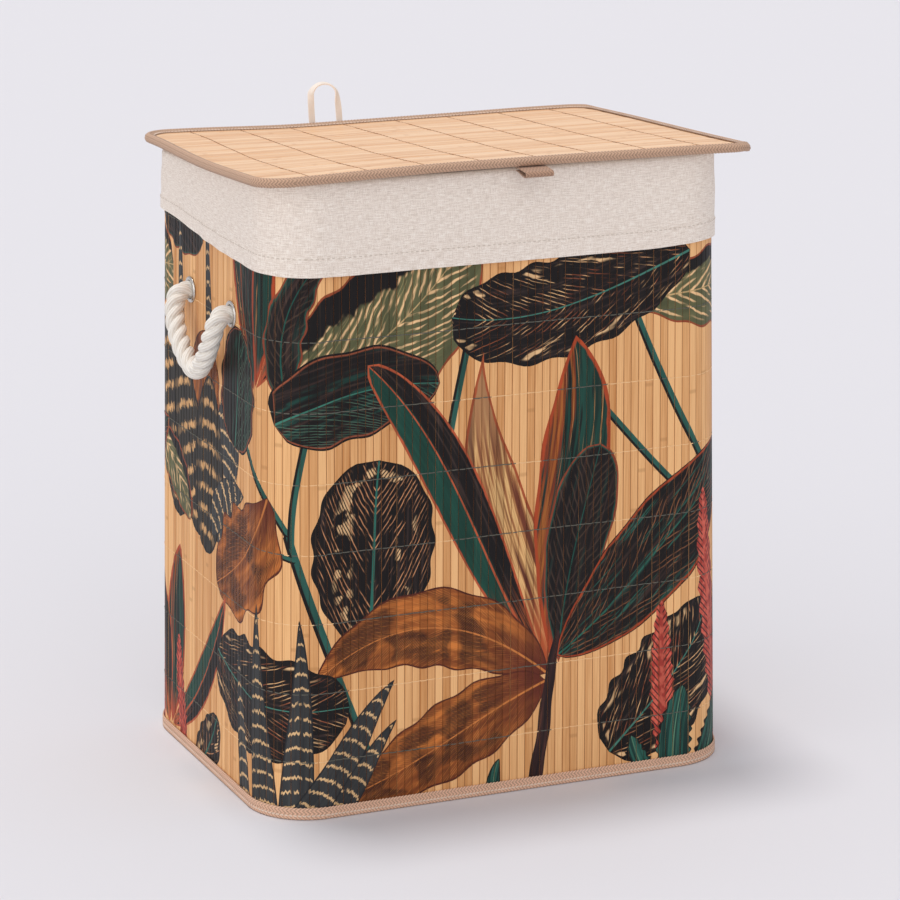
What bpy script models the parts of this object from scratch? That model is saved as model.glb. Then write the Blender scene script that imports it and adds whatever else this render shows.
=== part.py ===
"""Laundry hamper with a hinged lid: a rounded box of sewn bamboo slats with a folded-out
cloth liner, two rope handles through metal eyelets, and a slatted lid on a cloth hinge.

Metres, +Z up. The origin is the centre of the underside, -Y is the front (a long side).
"""

import math

import bmesh
import bpy
from mathutils import Vector

GAP = 0.0003            # clearance left between pieces that touch

# Basket walls
WIDTH = 0.400           # outside of the slats at the rim, along X
DEPTH = 0.284           # the same along Y
CORNER_RADIUS = 0.043
FLARE = 0.006           # how far each side leans out from the rim down to the floor
WALL_TOP = 0.4945
TAPE_THICK = 0.0010     # the woven tape that wraps the curtain's foot and rim
WALL_BOTTOM = TAPE_THICK + GAP
SLAT_THICK = 0.0022
BACKING_THICK = 0.0005
ARC_STEPS = 5

# Base and edge bindings
SHEET_THICK = 0.0008
BOARD_THICK = 0.003
BOTTOM_BAND = 0.0105
TOP_BAND = 0.012
WIRE_RADIUS = 0.0015

# Lid, hinged on the rear edge and standing a little high at its front
HINGE_Y = 0.149
HINGE_Z = 0.4985
LID_TILT = 0.062        # radians, front edge up
LID_WIDTH = 0.432
LID_DEPTH = 0.316
LID_RADIUS = 0.028
LID_REAR = 0.008        # lid behind the hinge axis
LID_MID = 0.0073        # middle of the lid's thickness above the hinge axis
LID_SLAT_THICK = 0.0020
LID_LINING_THICK = 0.0007
WELT_RADIUS = 0.0037
WELT_INSIDE = 0.0022
LID_BAND = 0.0090
BAND_THICK = 0.0009     # of the welt's flat bands above and below the slats

# Liner: a bag whose top is turned out over the rim as a cuff
CLOTH_THICK = 0.0010
HEM_Z = 0.446
CUFF_OUT = 0.0022       # face of the slats to the cuff's inner side, at the rim
RIM_INSET = 0.0048      # the bag behind the rim
BAG_SHOULDER_Z = 0.424  # the bag starts to close in on the rim here
BAG_RIM_Z = 0.484
FOLD_DROP = 0.0035      # where the fold's sides begin, below its top
FOLD_CLEAR = 0.0041     # top of the fold above the hinge axis, measured in the lid's plane
BAG_SIDE_INSET = 0.028  # room for the rope knots behind the left and right walls
BAG_END_INSET = 0.010
BAG_RADIUS = 0.030

# Rope handles
ROPE_RADIUS = 0.007
EYELET_Z = 0.400
HANDLE_Y = -0.004
EYELET_SPACING = 0.094
EYELET_BORE = 0.0075
EYELET_WALL = 0.0008
EYELET_FLANGE = 0.0110
FLANGE_THICK = 0.0010
PIVOT_OUT = 0.0077      # handle pivot outside the eyelet's face
HANDLE_DROP = 0.054
HANDLE_PROUD = 0.0075   # how far the rope stands out beyond its pivot
KNOT_RADIUS = 0.0135
KNOT_LENGTH = 0.021

# Cloth trim on the lid
LOOP_X = -0.0355
LOOP_WIDTH = 0.033
LOOP_HEIGHT = 0.0323
LOOP_TAPE = 0.0055
LOOP_THICK = 0.0012
LOOP_LEAN = 0.004
TAB_X = 0.012
TAB_WIDTH = 0.024
TAB_REACH = 0.012
TAB_THICK = 0.0009
HINGE_TAPE_LENGTH = 0.300
HINGE_TAPE_LOW = 0.470  # foot of the tape on the cuff
HINGE_TAPE_REACH = 0.024

LEFT, RIGHT, FRONT, REAR = -1, 1, -1, 1

COLOURS = {
    "bamboo": ((0.62, 0.40, 0.20), 0.45, 0.0),
    "board": ((0.45, 0.36, 0.26), 0.80, 0.0),
    "backing": ((0.62, 0.58, 0.50), 0.95, 0.0),
    "linen": ((0.68, 0.63, 0.56), 0.95, 0.0),
    "taupe": ((0.42, 0.31, 0.24), 0.90, 0.0),
    "cream": ((0.76, 0.68, 0.56), 0.90, 0.0),
    "rope": ((0.80, 0.76, 0.69), 0.90, 0.0),
    "steel": ((0.62, 0.62, 0.62), 0.30, 1.0),
}


def clear_scene():
    for obj in list(bpy.data.objects):
        bpy.data.objects.remove(obj, do_unlink=True)


def new_collection(name):
    collection = bpy.data.collections.new(name)
    bpy.context.scene.collection.children.link(collection)
    return collection


def make_material(name, look):
    """One Principled material for one sub-part."""
    colour, roughness, metallic = COLOURS[look]
    material = bpy.data.materials.new(name)
    material.use_nodes = True
    shader = material.node_tree.nodes["Principled BSDF"]
    shader.inputs["Base Color"].default_value = (*colour, 1.0)
    shader.inputs["Roughness"].default_value = roughness
    shader.inputs["Metallic"].default_value = metallic
    return material


def add_object(name, data, look, parent=None):
    obj = bpy.data.objects.new(name, data)
    PARTS.objects.link(obj)
    data.materials.append(make_material(name, look))
    obj.parent = parent
    return obj


def add_mesh(name, bm, look, parent=None):
    mesh = bpy.data.meshes.new(name)
    bm.normal_update()
    bm.to_mesh(mesh)
    bm.free()
    mesh.shade_smooth()
    mesh.set_sharp_from_angle(angle=math.radians(35))
    return add_object(name, mesh, look, parent)


def solidify(obj, thickness, side):
    modifier = obj.modifiers.new("thickness", "SOLIDIFY")
    modifier.thickness = thickness
    modifier.offset = side
    modifier.use_even_offset = True


def cut(obj, cutter):
    modifier = obj.modifiers.new("cut " + cutter.name, "BOOLEAN")
    modifier.operation = "DIFFERENCE"
    modifier.solver = "EXACT"
    modifier.object = cutter


def corner_arc(x_side, y_side, half_w, half_d, radius):
    """Points of one rounded corner, anticlockwise seen from above."""
    start = {(1, -1): -90, (1, 1): 0, (-1, 1): 90, (-1, -1): 180}[x_side, y_side]
    centre = Vector((x_side * (half_w - radius), y_side * (half_d - radius)))
    points = []
    for step in range(ARC_STEPS + 1):
        angle = math.radians(start + 90 * step / ARC_STEPS)
        points.append(centre + radius * Vector((math.cos(angle), math.sin(angle))))
    return points


def rounded_ring(half_w, half_d, radius):
    """A whole rounded rectangle, anticlockwise from the front right corner."""
    points = []
    for corner in ((1, -1), (1, 1), (-1, 1), (-1, -1)):
        points += corner_arc(*corner, half_w, half_d, radius)
    return points


def basket_ring(offset):
    """The rim's outline moved out by offset, with concentric corners."""
    return rounded_ring(WIDTH / 2 + offset, DEPTH / 2 + offset, CORNER_RADIUS + offset)


def lid_ring(offset):
    return rounded_ring(LID_WIDTH / 2 + offset, LID_DEPTH / 2 + offset, LID_RADIUS + offset)


def flare_at(z):
    """How far the slats stand outside the rim's outline at this height."""
    return FLARE * (1 - z / WALL_TOP)


def loft(bm, sections, closed_path=True, closed_profile=False):
    """Quads between sections, each a list of 3-D points with the same count."""
    rows = [[bm.verts.new(point) for point in section] for section in sections]
    if closed_profile:
        rows.append(rows[0])
    count = len(rows[0])
    last = count if closed_path else count - 1
    for lower, upper in zip(rows, rows[1:]):
        for i in range(last):
            j = (i + 1) % count
            bm.faces.new((lower[i], lower[j], upper[j], upper[i]))
    return rows


def swept_band(name, profile, outline, look, parent=None, shift=(0, 0, 0), closed_path=True):
    """A closed profile of (outward offset, height) points carried along an outline."""
    bm = bmesh.new()
    sections = []
    for offset, z in profile:
        sections.append([Vector((p.x, p.y, z)) + Vector(shift) for p in outline(offset)])
    rows = loft(bm, sections, closed_path, closed_profile=True)
    if not closed_path:
        bm.faces.new([row[0] for row in rows[:-1]])
        bm.faces.new([row[-1] for row in rows[:-1]])
    bmesh.ops.recalc_face_normals(bm, faces=bm.faces)
    return add_mesh(name, bm, look, parent)


def plate(name, outline, z_low, z_high, look, parent=None, shift=(0, 0, 0)):
    """A flat sheet with the given outline."""
    bm = bmesh.new()
    low = [bm.verts.new(Vector((p.x, p.y, z_low)) + Vector(shift)) for p in outline]
    face = bm.faces.new(low)
    made = bmesh.ops.extrude_face_region(bm, geom=[face])["geom"]
    top = [item for item in made if isinstance(item, bmesh.types.BMVert)]
    bmesh.ops.translate(bm, verts=top, vec=(0, 0, z_high - z_low))
    bmesh.ops.recalc_face_normals(bm, faces=bm.faces)
    return add_mesh(name, bm, look, parent)


def turned(name, profile, steps, look):
    """A profile of (radius, along) points turned about the object's own Z axis."""
    bm = bmesh.new()
    points = [bm.verts.new((radius, 0, along)) for radius, along in profile]
    for a, b in zip(points, points[1:]):
        bm.edges.new((a, b))
    if profile[0][0] > 0 and profile[-1][0] > 0:
        bm.edges.new((points[-1], points[0]))
    mesh = bpy.data.meshes.new(name)
    bm.to_mesh(mesh)
    bm.free()
    obj = add_object(name, mesh, look)
    screw = obj.modifiers.new("turn", "SCREW")
    screw.steps = screw.render_steps = steps
    screw.use_merge_vertices = True
    screw.merge_threshold = 0.00001
    return obj


def poly_curve(name, points, radius, sides, look, cyclic=False, radii=None, parent=None):
    """A round tube along a polyline, with filled ends."""
    curve = bpy.data.curves.new(name, "CURVE")
    curve.dimensions = "3D"
    curve.bevel_depth = radius
    curve.bevel_resolution = sides
    curve.use_fill_caps = True
    spline = curve.splines.new("POLY")
    spline.points.add(len(points) - 1)
    for index, point in enumerate(points):
        spline.points[index].co = (*point, 1.0)
        if radii:
            spline.points[index].radius = radii[index]
    spline.use_cyclic_u = cyclic
    return add_object(name, curve, look, parent)


def smooth_route(route, count):
    """Evenly counted points of a Catmull-Rom curve through the route."""
    ends = [2 * route[0] - route[1], *route, 2 * route[-1] - route[-2]]
    points = []
    spans = len(route) - 1
    for index in range(count):
        place = spans * index / (count - 1)
        span = min(int(place), spans - 1)
        t = place - span
        a, b, c, d = ends[span:span + 4]
        points.append(0.5 * (2 * b + (c - a) * t + (2 * a - 5 * b + 4 * c - d) * t ** 2
                             + (3 * b - a - 3 * c + d) * t ** 3))
    return points


def build_base():
    inner = flare_at(0) - SLAT_THICK - BACKING_THICK - TAPE_THICK - 4 * GAP
    plate("base_sheet", basket_ring(inner), 0.0, SHEET_THICK, "backing")
    board_low = SHEET_THICK + GAP
    plate("base_board", basket_ring(inner - 0.001), board_low, board_low + BOARD_THICK, "board")


def straight_run(x_side, y_side, offset):
    """Both ends of one flat run of the curtain, moved outwards by offset."""
    out = Vector((x_side * (WIDTH / 2 + offset), y_side * (DEPTH / 2 + offset)))
    half = (DEPTH if x_side else WIDTH) / 2 - CORNER_RADIUS - GAP / 2
    along = Vector((-y_side * half, x_side * half))
    return [out - along, out + along]


def corner_run(x_side, y_side, offset):
    """One rounded corner of the curtain, a little short of the flat runs beside it."""
    radius = CORNER_RADIUS + offset
    arc = corner_arc(x_side, y_side, WIDTH / 2 + offset, DEPTH / 2 + offset, radius)
    trim = GAP / 2 / (radius * math.radians(90 / ARC_STEPS))
    arc[0] = arc[0].lerp(arc[1], trim)
    arc[-1] = arc[-1].lerp(arc[-2], trim)
    return arc


def build_walls():
    """The slat curtain, as four flat runs and four rounded corners, each its own solid."""
    lean = flare_at(WALL_BOTTOM)
    profile = ((lean, WALL_BOTTOM), (0, WALL_TOP), (-SLAT_THICK, WALL_TOP),
               (lean - SLAT_THICK, WALL_BOTTOM))
    runs = (("slat_wall_front", 0, FRONT), ("slat_wall_rear", 0, REAR),
            ("slat_wall_left", LEFT, 0), ("slat_wall_right", RIGHT, 0),
            ("slat_corner_front_left", LEFT, FRONT), ("slat_corner_front_right", RIGHT, FRONT),
            ("slat_corner_rear_left", LEFT, REAR), ("slat_corner_rear_right", RIGHT, REAR))
    for name, x_side, y_side in runs:
        run = corner_run if x_side and y_side else straight_run
        wall = swept_band(name, profile, lambda offset: run(x_side, y_side, offset), "bamboo",
                          closed_path=False)
        if not y_side:
            for end in (FRONT, REAR):
                cut(wall, EYELET_CUTTERS[x_side, end])


def build_backing():
    """The thin cloth glued behind the slats, open at the top and bottom."""
    low, high = WALL_BOTTOM, WALL_TOP
    outer = -SLAT_THICK - GAP
    inner = outer - BACKING_THICK
    profile = ((flare_at(low) + outer, low), (outer, high), (inner, high),
               (flare_at(low) + inner, low))
    backing = swept_band("wall_backing", profile, basket_ring, "backing")
    for cutter in EYELET_CUTTERS.values():
        cut(backing, cutter)


def build_bindings():
    """Woven tape folded over the foot and the rim of the curtain."""
    foot = flare_at(0)
    outside = foot + GAP
    inside = foot - SLAT_THICK - BACKING_THICK - 2 * GAP
    top = BOTTOM_BAND
    floor = WALL_BOTTOM - GAP
    bottom_profile = (
        (outside + TAPE_THICK, 0.0), (outside + TAPE_THICK, top), (outside, top),
        (outside, floor), (inside, floor), (inside, top),
        (inside - TAPE_THICK, top), (inside - TAPE_THICK, 0.0))
    swept_band("bottom_binding", bottom_profile, basket_ring, "taupe")

    outside = flare_at(WALL_TOP - TOP_BAND) + GAP
    inside = -SLAT_THICK - BACKING_THICK - 2 * GAP
    low = WALL_TOP - TOP_BAND
    roof = WALL_TOP + 2 * WIRE_RADIUS + 2 * GAP
    top_profile = (
        (outside + TAPE_THICK, low), (outside + TAPE_THICK, roof + TAPE_THICK / 2),
        (inside - TAPE_THICK, roof + TAPE_THICK / 2), (inside - TAPE_THICK, low),
        (inside, low), (inside, roof), (outside, roof), (outside, low))
    swept_band("top_binding", top_profile, basket_ring, "taupe")

    wire = [Vector((p.x, p.y, WALL_TOP + GAP + WIRE_RADIUS))
            for p in basket_ring(-SLAT_THICK / 2 - BACKING_THICK / 2)]
    poly_curve("rim_wire", wire, WIRE_RADIUS, 1, "steel", cyclic=True)


def fold_top(y):
    """Height of the liner's fold, just under the tilted lid."""
    return HINGE_Z + FOLD_CLEAR + LID_TILT * (HINGE_Y - y)


def build_liner():
    """One cloth: bag bottom, bag sides, the fold over the rim, and the cuff outside."""
    floor = SHEET_THICK + BOARD_THICK + 2 * GAP + CLOTH_THICK

    def bag_ring(rise):
        """The bag's outline, drawn in from the rim by rise times its full inset."""
        side = RIM_INSET + (BAG_SIDE_INSET - RIM_INSET) * rise
        end = RIM_INSET + (BAG_END_INSET - RIM_INSET) * rise
        near_radius = CORNER_RADIUS - RIM_INSET
        radius = near_radius + (BAG_RADIUS - near_radius) * rise
        return rounded_ring(WIDTH / 2 - side, DEPTH / 2 - end, radius)

    def level(points, z):
        return [Vector((p.x, p.y, z)) for p in points]

    def under_lid(points, drop):
        return [Vector((p.x, p.y, fold_top(p.y) - drop)) for p in points]

    crest = CLOTH_THICK + GAP
    sections = [
        level(bag_ring(1), floor),
        level(bag_ring(1), BAG_SHOULDER_Z),
        level(bag_ring(0), BAG_RIM_Z),
        under_lid(bag_ring(0), FOLD_DROP),
        under_lid(basket_ring(-RIM_INSET * 0.6), crest),
        under_lid(basket_ring(-GAP), crest),
        under_lid(basket_ring(CUFF_OUT), FOLD_DROP),
        level(basket_ring(CUFF_OUT), HEM_Z),
    ]
    bm = bmesh.new()
    rows = loft(bm, sections)
    bm.faces.new(rows[0][::-1])
    liner = add_mesh("liner", bm, "linen")
    solidify(liner, CLOTH_THICK, -1)


def eyelet_centre(side, end):
    """Middle of one rope hole, on the slats' outer face."""
    return Vector((side * (WIDTH / 2 + flare_at(EYELET_Z)),
                   HANDLE_Y + end * EYELET_SPACING / 2, EYELET_Z))


def aim_outwards(obj, side):
    """Turns the object's own +Z to point away from the basket."""
    obj.rotation_euler = (0, side * math.pi / 2, 0)


def build_cutters():
    cutters = {}
    for side in (LEFT, RIGHT):
        for end in (FRONT, REAR):
            bm = bmesh.new()
            bmesh.ops.create_cone(bm, cap_ends=True, segments=16, depth=0.02,
                                  radius1=EYELET_BORE + EYELET_WALL + GAP,
                                  radius2=EYELET_BORE + EYELET_WALL + GAP)
            mesh = bpy.data.meshes.new("eyelet_cutter")
            bm.to_mesh(mesh)
            bm.free()
            cutter = bpy.data.objects.new(f"eyelet_cutter_{side}_{end}", mesh)
            CUTTERS.objects.link(cutter)
            cutter.location = eyelet_centre(side, end)
            aim_outwards(cutter, side)
            cutter.hide_render = True
            cutter.display_type = "WIRE"
            cutters[side, end] = cutter
    return cutters


def build_eyelets_and_knots(side, side_name):
    wall = SLAT_THICK + GAP + BACKING_THICK
    barrel = EYELET_BORE + EYELET_WALL
    washer_out = -wall - GAP
    washer_in = washer_out - EYELET_WALL
    barrel_end = washer_in - EYELET_WALL
    face = GAP + FLANGE_THICK
    eyelet_profile = (
        (EYELET_BORE, face), (EYELET_FLANGE - FLANGE_THICK, face),
        (EYELET_FLANGE, GAP + FLANGE_THICK / 2), (EYELET_FLANGE, GAP),
        (barrel, GAP), (barrel, barrel_end), (EYELET_BORE, barrel_end))
    washer_profile = (
        (barrel + GAP, washer_out), (EYELET_FLANGE, washer_out),
        (EYELET_FLANGE, washer_in), (barrel + GAP, washer_in))
    knot_start = barrel_end - GAP
    knot_profile = [(0.0, face), (ROPE_RADIUS, face), (ROPE_RADIUS, knot_start)]
    for step in range(1, 6):
        angle = math.pi * step / 6
        knot_profile.append((KNOT_RADIUS * math.sin(angle) ** 0.6,
                             knot_start - KNOT_LENGTH * (1 - math.cos(angle)) / 2))
    knot_profile.append((0.0, knot_start - KNOT_LENGTH))
    for end, end_name in ((FRONT, "front"), (REAR, "rear")):
        for name, profile, look, steps in (
                (f"eyelet_{side_name}_{end_name}", eyelet_profile, "steel", 16),
                (f"eyelet_washer_{side_name}_{end_name}", washer_profile, "steel", 16),
                (f"rope_knot_{side_name}_{end_name}", knot_profile, "rope", 12)):
            piece = turned(name, profile, steps, look)
            piece.location = eyelet_centre(side, end)
            aim_outwards(piece, side)


def handle_route(side):
    """Centreline of one handle from its rear pivot to its front pivot, from the pivot."""
    reach = EYELET_SPACING / 2
    half = [(1.00, 0.0, 0.0), (0.99, 0.55, 0.12), (0.91, 0.95, 0.34),
            (0.72, 1.00, 0.65), (0.40, 0.85, 0.92)]
    route = [(reach * a, HANDLE_PROUD * b, -HANDLE_DROP * c) for a, b, c in half]
    route.append((0.0, 0.75 * HANDLE_PROUD, -HANDLE_DROP))
    route += [(-y, out, z) for y, out, z in reversed(route[:-1])]
    return [Vector((side * out, y, z)) for y, out, z in route]


def build_handle(side, side_name):
    """The rope outside the wall, with round ends that turn on the line of the eyelets."""
    pivot = bpy.data.objects.new(f"handle_{side_name}_pivot", None)
    PARTS.objects.link(pivot)
    pivot.location = (side * (WIDTH / 2 + flare_at(EYELET_Z) + GAP + FLANGE_THICK + PIVOT_OUT),
                      HANDLE_Y, EYELET_Z)
    centre = smooth_route(handle_route(side), 23)
    nose = []
    for fraction in (0.95, 0.6):
        inwards = Vector((-side * ROPE_RADIUS * fraction, 0, 0))
        nose.append((inwards, math.sqrt(1 - fraction ** 2)))
    points = [centre[0] + step for step, _ in nose] + centre
    points += [centre[-1] + step for step, _ in reversed(nose)]
    narrow = [size for _, size in nose]
    radii = narrow + [1.0] * len(centre) + narrow[::-1]
    poly_curve(f"handle_rope_{side_name}", points, ROPE_RADIUS, 3, "rope",
               radii=radii, parent=pivot)


def build_lid():
    """Lid pieces hang from an empty on the hinge axis, turned by the lid's tilt."""
    hinge = bpy.data.objects.new("lid_hinge_axis", None)
    PARTS.objects.link(hinge)
    hinge.location = (0, HINGE_Y, HINGE_Z)
    hinge.rotation_euler = (-LID_TILT, 0, 0)
    centre_y = LID_REAR - LID_DEPTH / 2
    middle = (0, centre_y, LID_MID)

    slat_edge = -WELT_RADIUS - WIRE_RADIUS - GAP
    half = LID_SLAT_THICK / 2
    plate("lid_slats", lid_ring(slat_edge), -half, half, "bamboo", hinge, middle)
    lining_top = -half - GAP
    plate("lid_lining", lid_ring(slat_edge), lining_top - LID_LINING_THICK, lining_top,
          "linen", hinge, middle)

    wire = [Vector((p.x, p.y + centre_y, LID_MID)) for p in lid_ring(-WELT_RADIUS)]
    poly_curve("lid_wire", wire, WIRE_RADIUS, 1, "steel", cyclic=True, parent=hinge)

    outer = []
    inner = []
    for step in range(7):
        angle = math.radians(90 - 180 * step / 6)
        out, up = math.cos(angle), math.sin(angle)
        outer.append((-WELT_RADIUS + WELT_RADIUS * out, WELT_RADIUS * up))
        inner.append((-WELT_RADIUS + WELT_INSIDE * out, WELT_INSIDE * up))
    band = -LID_BAND
    edge = WELT_INSIDE + BAND_THICK
    profile = [(band, edge), *outer, (band, -edge),
               (band, -WELT_INSIDE), *reversed(inner), (band, WELT_INSIDE)]
    swept_band("lid_binding", profile, lid_ring, "taupe", hinge, middle)
    build_pull_tab(hinge, centre_y)
    build_loop(hinge)
    build_hinge_tapes(hinge)


def ribbon(name, path, width, thick, parent, side):
    """A flat taupe tape: a line of points drawn out along X, then thickened."""
    bm = bmesh.new()
    across = Vector((width / 2, 0, 0))
    loft(bm, [[p - across for p in path], [p + across for p in path]], closed_path=False)
    solidify(add_mesh(name, bm, "taupe", parent), thick, side)


def build_pull_tab(hinge, centre_y):
    """A short tape folded into a flat teardrop below the lid's front edge."""
    front = centre_y - LID_DEPTH / 2
    top = LID_MID - WELT_RADIUS - GAP
    path = []
    for reach, z in ((0.5, 0.0), (0.0, -0.0004), (-0.5, -0.0014), (-0.88, -0.0026),
                     (-1.0, -0.0042), (-0.88, -0.0058), (-0.5, -0.0050), (0.0, -0.0032),
                     (0.5, -0.0022)):
        path.append(Vector((TAB_X, front + reach * TAB_REACH, top + z)))
    ribbon("lid_pull_tab", path, TAB_WIDTH, TAB_THICK, hinge, side=-1)


def build_loop(hinge):
    """A narrow flat tape standing up as an arch behind the lid's rear edge."""
    rear = LID_REAR + GAP
    half = (LOOP_WIDTH - LOOP_TAPE) / 2
    foot = LID_MID
    shoulder = LOOP_HEIGHT - LOOP_TAPE / 2 - half
    sections = [[], []]
    for side, row in zip((-1, 1), sections):
        edge = half + side * LOOP_TAPE / 2
        row.append(Vector((LOOP_X - edge, rear, foot)))
        for step in range(11):
            angle = math.pi * step / 10
            rise = shoulder + edge * math.sin(angle)
            lean = LOOP_LEAN * rise / LOOP_HEIGHT
            row.append(Vector((LOOP_X - edge * math.cos(angle), rear + lean, foot + rise)))
        row.append(Vector((LOOP_X + edge, rear, foot)))
    bm = bmesh.new()
    loft(bm, sections, closed_path=False)
    solidify(add_mesh("lid_loop", bm, "cream", hinge), LOOP_THICK, -1)


def build_hinge_tapes(hinge):
    """The two halves of the cloth hinge, each side of the hinge axis."""
    under = LID_MID - LID_SLAT_THICK / 2 - LID_LINING_THICK - 2 * GAP
    near = LID_REAR - LID_BAND - 2 * GAP
    lid_half = [Vector((0, y, under)) for y in (-HINGE_TAPE_REACH, near)]
    ribbon("hinge_tape_lid", lid_half, HINGE_TAPE_LENGTH, TAPE_THICK / 2, hinge, side=1)
    rear = DEPTH / 2 + CUFF_OUT + CLOTH_THICK + GAP
    basket_half = [Vector((0, rear, z)) for z in (HINGE_TAPE_LOW, HINGE_Z - TAPE_THICK)]
    ribbon("hinge_tape_basket", basket_half, HINGE_TAPE_LENGTH, BAND_THICK, None, side=1)


clear_scene()
PARTS = new_collection("laundry_hamper")
CUTTERS = new_collection("cutters")
EYELET_CUTTERS = build_cutters()

build_base()
build_walls()
build_backing()
build_bindings()
build_liner()
for handle_side, handle_name in ((LEFT, "left"), (RIGHT, "right")):
    build_eyelets_and_knots(handle_side, handle_name)
    build_handle(handle_side, handle_name)
build_lid()
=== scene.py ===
"""Looks of the laundry hamper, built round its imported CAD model.

Metres, +Z up, -Y the front. The slat curtain is laid out on an unrolled wall: s runs round the
rim's outline from the middle of the front towards +X, z is the height.
"""

import math

import bmesh
import bpy
import numpy as np
from mathutils import Matrix, Vector, noise
from mathutils.geometry import delaunay_2d_cdt


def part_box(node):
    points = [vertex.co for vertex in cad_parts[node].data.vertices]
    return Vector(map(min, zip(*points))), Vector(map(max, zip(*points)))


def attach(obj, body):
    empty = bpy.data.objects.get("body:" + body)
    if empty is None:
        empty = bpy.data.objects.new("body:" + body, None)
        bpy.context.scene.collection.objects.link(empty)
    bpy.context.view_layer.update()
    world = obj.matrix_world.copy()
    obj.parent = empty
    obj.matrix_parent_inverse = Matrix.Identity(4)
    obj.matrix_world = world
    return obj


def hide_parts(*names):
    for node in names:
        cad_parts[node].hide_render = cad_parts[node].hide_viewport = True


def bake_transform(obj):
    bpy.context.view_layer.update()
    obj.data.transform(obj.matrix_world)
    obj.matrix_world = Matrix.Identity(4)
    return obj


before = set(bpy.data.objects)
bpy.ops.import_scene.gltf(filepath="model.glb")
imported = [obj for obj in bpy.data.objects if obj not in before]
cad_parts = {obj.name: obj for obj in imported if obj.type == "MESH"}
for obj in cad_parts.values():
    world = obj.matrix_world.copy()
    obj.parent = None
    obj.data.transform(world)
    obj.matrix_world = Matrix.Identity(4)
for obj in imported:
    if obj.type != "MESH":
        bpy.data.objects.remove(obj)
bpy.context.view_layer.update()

rng = np.random.default_rng(7)

# Basket, as the CAD model has it
HALF_WIDTH, HALF_DEPTH, CORNER = 0.200, 0.142, 0.043      # slats' outer face at the rim
FLARE = 0.006            # lean of each side from the rim to the floor
WALL_LOW, WALL_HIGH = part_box("slat_wall_front")[0].z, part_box("slat_wall_front")[1].z
SLAT_THICK = 0.0022
SLAT_LEAN, SLAT_BOW = 0.012, 0.00012     # how far slats differ in slope and in depth

# Unrolled wall
RIM_HALF = (HALF_WIDTH, HALF_DEPTH)
FLAT_X = HALF_WIDTH - CORNER
FLAT_Y = HALF_DEPTH - CORNER
ARC = CORNER * math.pi / 2
HALF_TURN = 2 * (FLAT_X + FLAT_Y + ARC)
SLATS_FRONT, SLATS_SIDE, SLATS_CORNER = 47, 30, 10
SLAT_GAP = 0.00016
THREAD_ROWS = [0.0485 + 0.0576 * row for row in range(8)]

# Lid frame: its own axes hang from the hinge, turned by the tilt
HINGE = Vector((0.0, 0.149, 0.4985))
LID_TILT = 0.062
LID_HALF = Vector((0.216, 0.158))
LID_CENTRE_Y = 0.008 - LID_HALF.y
LID_MID = 0.0073
LID_RADIUS = 0.028
LID_INSET = 0.0055       # slats and lining, in from the lid's outline
LID_SLATS = 45
LID_SLAT_LEAN, LID_SLAT_BOW = 0.010, 0.00010
LID_PITCH = 2 * (LID_HALF.y - LID_INSET) / LID_SLATS
LID_SLAT_HALF = (LID_PITCH - SLAT_GAP) / 2
LID_ROWS = LID_CENTRE_Y + (np.arange(LID_SLATS) - (LID_SLATS - 1) / 2) * LID_PITCH
LID_STITCHES = [-0.169 + 0.0484 * row for row in range(8)]
WELT = 0.0037
LOOP_X, LOOP_WIDTH, LOOP_HEIGHT, LOOP_TAPE, LOOP_THICK = -0.0355, 0.0305, 0.0362, 0.0055, 0.0010
TAPE_RIB, TAPE_ROW = 0.0029, 0.0025      # herringbone's pitch along a tape and across it
TAPE_RELIEF, TAPE_STEP = 0.00030, 0.00055

# Liner
CUFF_OUT = 0.0032        # cuff's outer face from the rim's outline
HEM_Z = 0.446
HEM, HEM_ROWS = 0.0011, 6                # the folded hem adds this much, over the last rows
FOLD_CLEAR = 0.0041
RIM_INSET = 0.0048
BAG_HALF, BAG_RADIUS = (0.172, 0.132), 0.030
BAG_FLOOR, BAG_SHOULDER, BAG_RIM = 0.0062, 0.424, 0.484
CLOTH = 0.0010
BAG_FOOT = 0.008         # radius where the bag's side meets its floor
FLOOR_ROWS, FOOT_ROWS, SIDE_ROWS, SHOULDER_ROWS, FOLD_ROWS, CUFF_ROWS = 16, 5, 58, 11, 9, 24
ROW_BLEND = 8            # rows over which one part's folds give way to the next's

# Handles
STRAND_RADIUS, STRAND_OFFSET, ROPE_PITCH = 0.0041, 0.0042, 0.034
YARNS, YARN_PITCH = 11, 0.022
EYELET_Z = 0.400
HOLE_RADIUS = 0.0084
HANDLE_Y = -0.004
EYELET_HALF_SPACING = 0.047
PIVOT_OUT = 0.0090       # rope's pivot line outside the slats' face
SIDES = {"left": -1, "right": 1}
LEAN = 0.0050            # the right end leans: in by this at the rim, out by it at the foot


def flare_at(z):
    return FLARE * (1 - z / WALL_HIGH)


def settle(points):
    """Points of the basket after its right end has leaned."""
    points = np.array(points, float)
    share = np.clip(points[..., 0] / HALF_WIDTH, 0, 1)
    points[..., 0] += LEAN * share * (1 - 2 * points[..., 2] / WALL_HIGH)
    return points


def linear(colour):
    """Three 8-bit values as the linear ones that shaders take. Other colours pass unchanged."""
    if not isinstance(colour, tuple) or len(colour) > 3:
        return colour
    return (*[((c / 255 + 0.055) / 1.055) ** 2.4 for c in colour], 1.0)


def add_object(name, data):
    obj = bpy.data.objects.new(name, data)
    bpy.context.scene.collection.objects.link(obj)
    return obj


# ---------------- camera, light, floor

CAMERA_BEARING, CAMERA_HEIGHT_ANGLE = math.radians(23.65), math.radians(15.5)
CAMERA_TARGET, CAMERA_DISTANCE = (0, 0, 0.25), 3.15
CAMERA_AIM = (math.radians(23.87), math.radians(15.43), math.radians(0.5))   # yaw, pitch, roll
CAMERA_LENS = 150.15


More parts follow.
